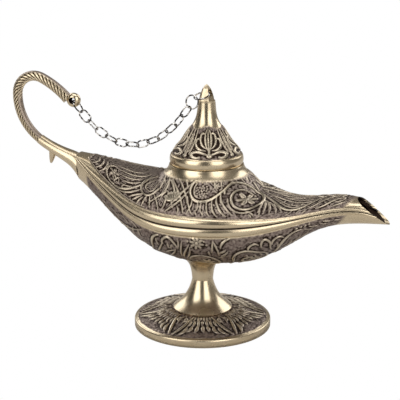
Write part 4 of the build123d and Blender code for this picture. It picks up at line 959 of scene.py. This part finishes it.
def draw_lid():
    sheet = Relief((0, 0), (LID_SPAN, 44))
    middle = LID_SPAN / 2
    sheet.stroke([(middle, 8.0), (middle, 24.2)], (0.8, 0.6, 0.8, 0.4))
    sheet.stamp(sheet.rise, (middle, 8.6), 1.3, 1.0)
    for way in (1, -1):
        for widths, points in PALMETTE_HALVES:
            sheet.stroke([(middle + way * u, v) for u, v in points], widths)
        border = 0 if way < 0 else LID_SPAN
        sheet.stroke([(border, 8.2), (border - way * 0.2, 23.4)], (0.6, 0.9, 0.3), 1.0, 0.2)
        for rise, reach in ((9.4, 4.6), (12.6, 4.0), (15.8, 3.2), (19.0, 2.2)):
            sheet.blade((border, rise), (border - way * reach * 0.34, rise + reach), 0.15 * way, 0.5)
        sheet.stamp(sheet.rise, (border, 8.0), 1.0, 1.0)
    sheet.settle()
    return sheet


def make_lid():
    skin = Skin()
    band_top, step = LID_BOTTOM + LID_BAND_HEIGHT, LID_BAND_RADIUS - LID_STEP
    bulge = (LID_BAND_RADIUS + LID_BAND_BULGE, LID_BOTTOM + LID_BAND_HEIGHT / 2)
    shares = np.linspace(0, 1, LID_BAND_POINTS)
    out, up = arc((LID_BAND_RADIUS, LID_BOTTOM), bulge, (LID_BAND_RADIUS, band_top), shares)
    skin.turn([*zip(out, up), (step, band_top)], NECK_X, LID_BAND_SIDES)
    outline = [(between(LID_TOP_RADIUS, step, out), between(band_top, LID_TOP, rise))
               for out, rise in [(1, 0), *LID_SIDE_SHARES, (0, 1)]]
    bell, line = revolved(outline, NECK_X, BELL_SIDES, BELL_PITCH)
    steps = np.hypot(*np.diff(line, axis=0).T)
    run = LID_BAND_HEIGHT + LID_STEP + np.concatenate([[0], np.cumsum(steps)])[:, None]
    angle, place = around(bell.shape[1], LID_FRONT, LID_SHEET_SCALE, LID_SPAN)
    place, run = np.broadcast_arrays(place, run)
    wave = LID_TOP_WAVE * np.cos(np.radians(angle * LID_SECTORS))
    top = fade(run - LID_TOP_POLISH - wave, LID_TOP_FADE)
    foot = fade(LID_BAND_HEIGHT + LID_FOOT_POLISH - run, LID_FOOT_FADE)
    skin.dress(bell, draw_lid(), place, run, np.maximum(top, foot))
    skin.turn([(LID_TOP_RADIUS, LID_TOP), (AXIS, LID_TOP)], NECK_X, LID_TOP_SIDES)
    skirt, foot = NECK_BORE - SKIRT_CLEARANCE, LID_BOTTOM - SKIRT_DEPTH
    inner = [(radius - LID_WALL, height - LID_WALL) for radius, height in outline[2:-2]]
    under = [(AXIS, inner[-1][1] - AXIS), *reversed(inner), (skirt - SKIRT_WALL, LID_BOTTOM + LID_WALL),
             (skirt - SKIRT_WALL, foot), (skirt, foot), (skirt, LID_BOTTOM), (LID_BAND_RADIUS, LID_BOTTOM)]
    # the lid's underside gets painted shade, a little short of full
    skin.turn(under, NECK_X, LID_INSIDE_SIDES, hollow=0.7, polish=0.3)
    skin.mesh("lid_relief", BRASS, "lid", "lid")


# Foot: six leaves of lobes whose outer corners come near the rim

FOOT_SECTORS, FOOT_SHEET_SCALE = 6, 0.42
FOOT_SPAN = 360 / FOOT_SECTORS * FOOT_SHEET_SCALE
# rows of lobes: count, gap, radii of root and tip, flare, how far the row's ends run out
FOOT_LOBES = [(6, 2.1, 17.2, 21.8, 1.1, 0.05), (7, 2.3, 21.4, 26.2, 1.15, 0.12),
              (7, 2.6, 26.0, 30.6, 1.32, 0.42)]
FOOT_FRONT, FOOT_RIM_POLISH, FOOT_RIM_FADE = -75.0, 2.3, 0.6
FOOT_SIDES, FOOT_PITCH, FOOT_EDGE_POINTS, INNER_SIDES = 960, 0.22, 8, 120


def draw_foot():
    """One leaf of the foot: three rows of full lobes, the outer row's corners almost at the rim."""
    sheet = Relief((0, 14), (FOOT_SPAN, 38))
    middle = FOOT_SPAN / 2
    for count, gap, root, reach, flare, corner in FOOT_LOBES:
        for k in range(count):
            aside = k - (count - 1) / 2
            drop = corner * aside * aside
            swing = 0.5 * math.sin(2.6 * k + root)
            base = (middle + gap * aside + 0.6 * swing, root + 0.4 * drop - 0.5 * swing)
            tip = (middle + gap * flare * aside + 1.2 * swing, reach + drop + 0.9 * math.cos(2.2 * k + root))
            sheet.blade(base, tip, 0.16 * swing + 0.05 * aside, 0.36 * gap, 1.0, 0.12)
    for way in (1, -1):
        sheet.stroke([(middle + way * 6.6, 18.0), (middle + way * 8.4, 23.6), (middle + way * 10.2, 29.0),
                      (middle + way * 11.9, 34.9)], (0.6, 0.85, 0.8, 0.3))
        sheet.scroll((middle + way * 10.6, 21.4), 1.7, 90, 0.9 * way, 0.3, (0.55, 0.55, 0.45))
        sheet.blade((middle + way * 12.3, 17.4), (middle + way * 11.6, 25.4), 0.1 * way, 0.6)
    sheet.settle()
    return sheet


def make_foot():
    skin = Skin()
    rim, land, edge = FOOT_RADIUS - FOOT_EDGE_ROUND, CONE_FOOT_RADIUS, FOOT_RIM_HEIGHT - FOOT_EDGE_ROUND
    slope = [(between(land, rim, out), between(FOOT_RIM_HEIGHT, FOOT_TOP, up))
             for out, up in FOOT_SLOPE_SHARES]
    slope = [(rim, FOOT_RIM_HEIGHT), *slope, (land, FOOT_TOP)]
    top, line = revolved(slope, 0, FOOT_SIDES, FOOT_PITCH)
    _, place = around(top.shape[1], FOOT_FRONT, FOOT_SHEET_SCALE, FOOT_SPAN)
    place, radius = np.broadcast_arrays(place, line[:, :1])
    polish = fade(radius - FOOT_RADIUS + FOOT_RIM_POLISH, FOOT_RIM_FADE)
    skin.dress(top, draw_foot(), place, radius, polish)
    ring = FOOT_RADIUS - FOOT_RING_WIDTH
    round_edge = [(rim + FOOT_EDGE_ROUND * math.cos(turn), edge + FOOT_EDGE_ROUND * math.sin(turn))
                  for turn in np.linspace(0, math.pi / 2, FOOT_EDGE_POINTS)]
    below = [(max(out, SCREW_HOLE), height - FOOT_WALL) for out, height in reversed(slope) if out < ring]
    skin.turn([(SCREW_HOLE, FOOT_TOP), (SCREW_HOLE, FOOT_TOP - FOOT_WALL), *below,
               (ring, below[-1][1]), (ring, 0), (FOOT_RADIUS, 0), *round_edge])
    skin.turn([(land, FOOT_TOP), (SCREW_HOLE, FOOT_TOP)], 0, INNER_SIDES)
    skin.mesh("foot_relief", BRASS, "lamp", "foot_disc")


def make_cone():
    skin = Skin()
    outline = [(between(CONE_TOP_RADIUS, CONE_FOOT_RADIUS, out), between(FOOT_TOP + CONE_LIP, CONE_TOP, up))
               for out, up in CONE_FLARE_SHARES]
    skin.turn(outline, pitch=TURN_PITCH)
    bore, inner = SPIGOT_RADIUS + SPIGOT_PLAY, CONE_FOOT_RADIUS - CONE_WALL
    skin.turn([(inner, FOOT_TOP), (CONE_FOOT_RADIUS, FOOT_TOP), (CONE_FOOT_RADIUS, FOOT_TOP + CONE_LIP)])
    inside = [(max(bore, out - CONE_WALL), up) for out, up in reversed(outline[1:3])]
    inside = [(CONE_TOP_RADIUS, CONE_TOP), (bore, CONE_TOP), *inside, (inner, FOOT_TOP)]
    skin.turn(inside, 0, INNER_SIDES, **SHADED_INSIDE)
    skin.mesh("cone_turned", BRASS, "lamp", "pedestal_cone")


# Handle

ROOT_START = np.array([-BODY_BEHIND_STEM, 0.0, ROOT_TAIL_HEIGHT])
BAR_START = ROOT_START + np.array([-ROOT_LENGTH, 0.0, ROOT_RISE])
BAR_LENGTH = sum(radius * math.radians(turn) for radius, turn in BAR_ARCS)
BAR_STATIONS, BAR_SIDES = 560, 144
# the bar's plain strip lies inside the curl, then changes over to the outside of it
PLAIN_CHANGE, PLAIN_CHANGE_LENGTH, INNER_PLAIN, OUTER_PLAIN, PLAIN_FADE = 0.36, 0.16, 0.3, 0.72, 0.12
GROOVE_WIDTH, GROOVE_FADE, GROOVE_DEPTH = 0.72, 0.45, BAR_FLUTE_DEPTH * 1.2
RIDGE_HOLLOW, GROOVE_HOLLOW, RIDGE_RELIEF, RIDGE_POLISH, PLAIN_DARKENING = 0.1, 1.3, 1.2, 0.85, 0.85
# rings of the bar's end caps, as shares of the way in to its middle
CAP_SHARES = (0, 0.001, 0.9)
ROOT_STATIONS, ROOT_SIDES = 60, 72
# outline of the spur: shares of its tip radius and drops from its end, then shares of base radius and reach
SPUR_TIP_DROPS, SPUR_SHARES, SPUR_SIDES = [(1.2, 0.12), (2, 0.7)], [(0.62, 0.55), (1.05, 0)], 48
BALL_STATIONS, HOLE_STATIONS, KNOB_SIDES, HOLE_CURVE = 48, 24, 96, 1.6


def level(heading):
    """The heading's own direction, in the handle's upright plane."""
    return np.array([math.cos(heading), 0, math.sin(heading)])


def outward(heading):
    return np.array([-math.sin(heading), 0, math.cos(heading)])


def make_root():
    """The smooth horn between the body's tail and the bar, with its spur."""
    skin = Skin()
    rows = [(0, 0, 1, 1, 0), *ROOT_STATION_SHARES, (1, 1, 0, 0, 1)]
    along, rise, tall, wide, tilt = (np.array([row[k] for row in rows], float) for k in range(5))
    at = np.linspace(0, 1, ROOT_STATIONS)
    rise, tall, wide, tilt = (spline(along, values)(at)[:, None] for values in (rise, tall, wide, tilt))
    angle = np.linspace(0, 2 * math.pi, ROOT_SIDES, endpoint=False)[None, :]
    broad = between(ROOT_END_RADIUS, ROOT_TAIL_HALF_WIDTH, wide)
    climb = between(ROOT_END_RADIUS, ROOT_TAIL_HALF_HEIGHT, tall) * np.sin(angle)
    lean = np.radians((90 - ROOT_END_TILT) * tilt)
    grid = np.stack([ROOT_START[0] - ROOT_LENGTH * at[:, None] + climb * np.sin(lean), broad * np.cos(angle),
                     ROOT_START[2] + ROOT_RISE * rise + climb * np.cos(lean)], 2)
    skin.add(grid, closed_columns=True)
    reach = SPUR_LENGTH + ROOT_END_RADIUS
    spur = [(2 * AXIS, reach), *((SPUR_TIP_RADIUS * out, reach - down) for out, down in SPUR_TIP_DROPS),
            *((SPUR_BASE_RADIUS * out, reach * up) for out, up in SPUR_SHARES)]
    thorn, _ = revolved(spur, 0, SPUR_SIDES, TURN_PITCH)
    turn = math.radians(180 - SPUR_TILT)
    top = between(ROOT_START, BAR_START, SPUR_PLACE_SHARE)
    spun = np.stack([thorn[..., 0] * math.cos(turn) + thorn[..., 2] * math.sin(turn), thorn[..., 1],
                     thorn[..., 2] * math.cos(turn) - thorn[..., 0] * math.sin(turn)], 2) + top
    skin.add(spun, closed_columns=True)
    skin.mesh("root_horn", BRASS, "lamp", "handle_root")


def bar_place(distance):
    """Point and heading on the bar's centre line at a distance from the root."""
    point, heading = BAR_START, math.radians(90 + ROOT_END_TILT)
    for radius, turn in BAR_ARCS:
        used = min(distance, radius * math.radians(turn))
        centre = point - outward(heading) * radius
        heading -= used / radius
        point = centre + outward(heading) * radius
        distance -= used
    return point, heading


def bar_ring(share, twist):
    """Points around the bar, how deep they lie in a groove, and how plain the metal is."""
    point, heading = bar_place(BAR_LENGTH * share)
    angle = np.linspace(0, 2 * math.pi, BAR_SIDES, endpoint=False)
    inner, outer = (fade(way * np.cos(angle) - limit, PLAIN_FADE)
                    for way, limit in ((-1, INNER_PLAIN), (1, OUTER_PLAIN)))
    plain = between(inner, outer, fade(share - PLAIN_CHANGE, PLAIN_CHANGE_LENGTH))
    flute = np.abs(np.cos(BAR_FLUTES / 2 * (angle - twist)))
    groove = fade(GROOVE_WIDTH - flute, GROOVE_FADE) * (1 - plain)
    reach = between(BAR_FOOT_THICKNESS, BAR_HEAD_THICKNESS, share) / 2 - GROOVE_DEPTH * groove
    ring = (point + outward(heading) * (reach * np.cos(angle))[:, None]
            + np.array([0, 1, 0]) * (reach * np.sin(angle))[:, None])
    return ring, groove, plain


def make_bar():
    """The twisted fluted bar."""
    skin = Skin()
    twist, rings = 0.0, []
    for station in range(BAR_STATIONS + 1):
        share = station / BAR_STATIONS
        rings.append(bar_ring(share, twist))
        twist -= 2 * math.pi * BAR_LENGTH / BAR_STATIONS / between(BAR_FOOT_LEAD, BAR_HEAD_LEAD, share)
    grid, groove, plain = (np.array(values) for values in zip(*rings))
    # painted shade in the flute grooves: the deeper a point lies, the darker it is painted
    hollow = RIDGE_HOLLOW + GROOVE_HOLLOW * groove
    # the plain strip is kept darker and duller than the rubbed ridges
    raised = fade(RIDGE_RELIEF - hollow) * (1 - PLAIN_DARKENING * plain)
    skin.add(grid, raised, fade(hollow), RIDGE_POLISH * raised, closed_columns=True)
    for ring, flip in ((grid[0], True), (grid[-1], False)):
        middle = np.broadcast_to(ring.mean(0), ring.shape)
        cap = np.stack([between(ring, middle, share) for share in CAP_SHARES])
        skin.add(cap, 0.5, 0.5, 0.5, flip=flip, closed_columns=True)
    skin.mesh("bar_fluted", BRASS, "lamp", "handle_bar")


def make_knob():
    """The ball at the bar's end, flat on both sides, whose hole narrows to a waist about the ring's wire."""
    skin = Skin()
    end, heading = bar_place(BAR_LENGTH)
    centre = end + level(heading) * KNOB_SEAT + outward(heading) * KNOB_RAISE
    half = KNOB_THICKNESS / 2
    widest = math.acos(KNOB_HOLE_RADIUS / KNOB_RADIUS)
    ball = [(KNOB_RADIUS * math.cos(turn), half * math.sin(turn) / math.sin(widest))
            for turn in np.linspace(-widest, widest, BALL_STATIONS)]
    hole = [(between(KNOB_WAIST, KNOB_HOLE_RADIUS, abs(up) ** HOLE_CURVE), half * up)
            for up in np.linspace(1, -1, HOLE_STATIONS)]
    # the hole's wall is painted dark as shade
    for outline, finish in ((ball, {}), (hole, SHADED_INSIDE)):
        upright, _ = revolved(outline, 0, KNOB_SIDES, None)
        lying = np.stack([upright[..., 0], -upright[..., 2], upright[..., 1]], 2)
        skin.add(lying + centre, closed_columns=True, **finish)
    skin.mesh("knob_ball", BRASS, "lamp", "handle_knob")


# Chain: each loop takes its place, length and width from its solid

LOOP_STATIONS, WIRE_SIDES = 72, 16


def make_loop(name):
    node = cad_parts[name]
    corners = np.array([node.matrix_world @ corner.co for corner in node.data.vertices]) / MM
    centre = corners.mean(0)
    axes = np.linalg.svd(corners - centre, full_matrices=False)[2]
    length, width = (2 * np.abs((corners - centre) @ axis).max() for axis in axes[:2])
    wire = CHAIN_WIRE / 2
    straight, bend = (length - width) / 2, width / 2 - wire
    angle = np.linspace(0, 2 * math.pi, LOOP_STATIONS, endpoint=False)[:, None]
    side = straight * np.clip(np.cos(angle) * LOOP_STATIONS, -1, 1)
    middle = centre + axes[0] * (side + bend * np.cos(angle)) + axes[1] * (bend * np.sin(angle))
    out = axes[0] * np.cos(angle) + axes[1] * np.sin(angle)
    turn = np.linspace(0, 2 * math.pi, WIRE_SIDES, endpoint=False)[None, :, None]
    grid = middle[:, None] + out[:, None] * (wire * np.cos(turn)) + axes[2] * (wire * np.sin(turn))
    skin = Skin()
    flip = np.dot(np.cross(axes[0], axes[1]), axes[2]) < 0
    skin.add(grid, flip=flip, closed_rows=True, closed_columns=True)
    skin.mesh(name + "_wire", CHAIN_STEEL, name + "_body", name, slot="chain_steel")


for make in (make_upper_shell, make_lower_shell, make_lid, make_foot, make_cone, make_root, make_bar,
             make_knob):
    make()
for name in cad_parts:
    if name.startswith("chain"):
        make_loop(name)


# Camera, floor and light

WARM_WHITE, WHITE = (1, 0.985, 0.95), (1, 1, 1)
FLOOR_SIDE, FLOOR_SHADE, SURROUND_SHADE = 6.0, (0.68, 0.67, 0.66), (0.20, 0.19, 0.175)
# cards: name, degrees from the camera's side, half angle, distance, height, shade of grey
CARDS = [("front", -3, 17, 0.85, 1.2, 0.02), ("left", -84, 16, 0.95, 1.2, 0.03)]
# softboxes: name, degrees from the camera's side, elevation, distance, size, power, colour
SOFTBOXES = [
    ("key_left", -45, 24, 1.2, (0.86, 1.1), 6.2, WARM_WHITE),
    ("key_right", 33, 24, 1.2, (0.80, 1.1), 5.6, WARM_WHITE),
    ("top", 0, 84, 1.1, (0.9, 0.6), 3.2, WHITE),
    ("rear_left", -140, 30, 1.3, (0.8, 0.9), 4.0, WHITE),
    ("rear_right", 130, 30, 1.3, (0.8, 0.9), 4.0, WHITE),
]


def placed(azimuth, elevation, distance):
    """A place about the camera's target; azimuth 0 is in front of the lamp."""
    turn, lift = math.radians(azimuth), math.radians(elevation)
    return Vector(CAMERA_TARGET) + distance * Vector(
        (math.sin(turn) * math.cos(lift), -math.cos(turn) * math.cos(lift), math.sin(lift)))


def aimed(name, data, place):
    """A camera or light at a place, turned to the target."""
    thing = bpy.data.objects.new(name, data)
    thing.rotation_mode = "QUATERNION"
    thing.location = place
    thing.rotation_quaternion = (Vector(CAMERA_TARGET) - place).to_track_quat("-Z", "Y")
    bpy.context.scene.collection.objects.link(thing)
    return thing


def make_camera():
    data = bpy.data.cameras.new("camera")
    data.lens, data.sensor_width = CAMERA_LENS, SENSOR_WIDTH
    data.clip_start, data.clip_end = 0.01, 20
    place = placed(CAMERA_AZIMUTH, CAMERA_ELEVATION, CAMERA_DISTANCE)
    bpy.context.scene.camera = aimed("camera", data, place)


def softbox(name, azimuth, elevation, distance, size, power, colour):
    """A rectangular light that faces the lamp."""
    place = placed(CAMERA_AZIMUTH + azimuth, elevation, distance)
    data = bpy.data.lights.new(name, "AREA")
    data.shape, data.size, data.size_y = "RECTANGLE", *size
    data.energy, data.color = power, colour
    aimed(name, data, place)


def panel(name, corners, material):
    mesh = bpy.data.meshes.new(name)
    mesh.from_pydata(corners, [], [tuple(range(len(corners)))])
    mesh.materials.append(material)
    sheet = bpy.data.objects.new(name, mesh)
    bpy.context.scene.collection.objects.link(sheet)
    return sheet


def card(name, azimuth, half_angle, distance, top, shade):
    """An upright card that the metal mirrors and the camera doesn't see."""
    material, tree, bsdf = shader("card_" + name, 0.9, 0.0)
    cloud = noise(tree, 3, 2.0)
    tree.links.new(ramp(tree, cloud, (0.3, grey(shade)), (0.7, grey(shade * 1.1))), bsdf.inputs["Base Color"])
    turn = math.radians(CAMERA_AZIMUTH + azimuth)
    wide = distance * math.tan(math.radians(half_angle))
    middle = np.array([math.sin(turn), -math.cos(turn), 0]) * distance
    aside = np.array([math.cos(turn), math.sin(turn), 0]) * wide
    up = np.array([0, 0, top])
    sheet = panel("card_" + name, [tuple(corner) for corner in (
        middle - aside, middle + aside, middle + aside + up, middle - aside + up)], material)
    sheet.visible_camera = False


def make_studio():
    """Floor and surroundings, white for the camera and greyer for the metal, with cards and softboxes."""
    material, tree, bsdf = shader("floor_white", 0.8, 0.0)
    bsdf.inputs["Base Color"].default_value = (*FLOOR_SHADE, 1)
    glow = add(tree, "Emission", Color=(1, 1, 1, 1), Strength=1.0)
    seen = add(tree, "LightPath").outputs["Is Camera Ray"]
    blend = add(tree, "MixShader", i0=seen, i1=bsdf.outputs[0], i2=glow.outputs[0])
    tree.links.new(blend.outputs[0], tree.nodes["Material Output"].inputs["Surface"])
    far = FLOOR_SIDE / 2
    panel("floor", [(-far, -far, 0), (far, -far, 0), (far, far, 0), (-far, far, 0)], material)
    world = bpy.data.worlds.new("studio")
    bpy.context.scene.world = world
    world.use_nodes = True
    tree = world.node_tree
    path = add(tree, "LightPath").outputs["Is Camera Ray"]
    background = tree.nodes["Background"]
    tree.links.new(mixed_colour(tree, path, SURROUND_SHADE, WHITE), background.inputs["Color"])
    background.inputs["Strength"].default_value = 1.0
    for settings in CARDS:
        card(*settings)
    for settings in SOFTBOXES:
        softbox(*settings)


make_camera()
make_studio()
scene = bpy.context.scene
scene.view_settings.view_transform = "Standard"
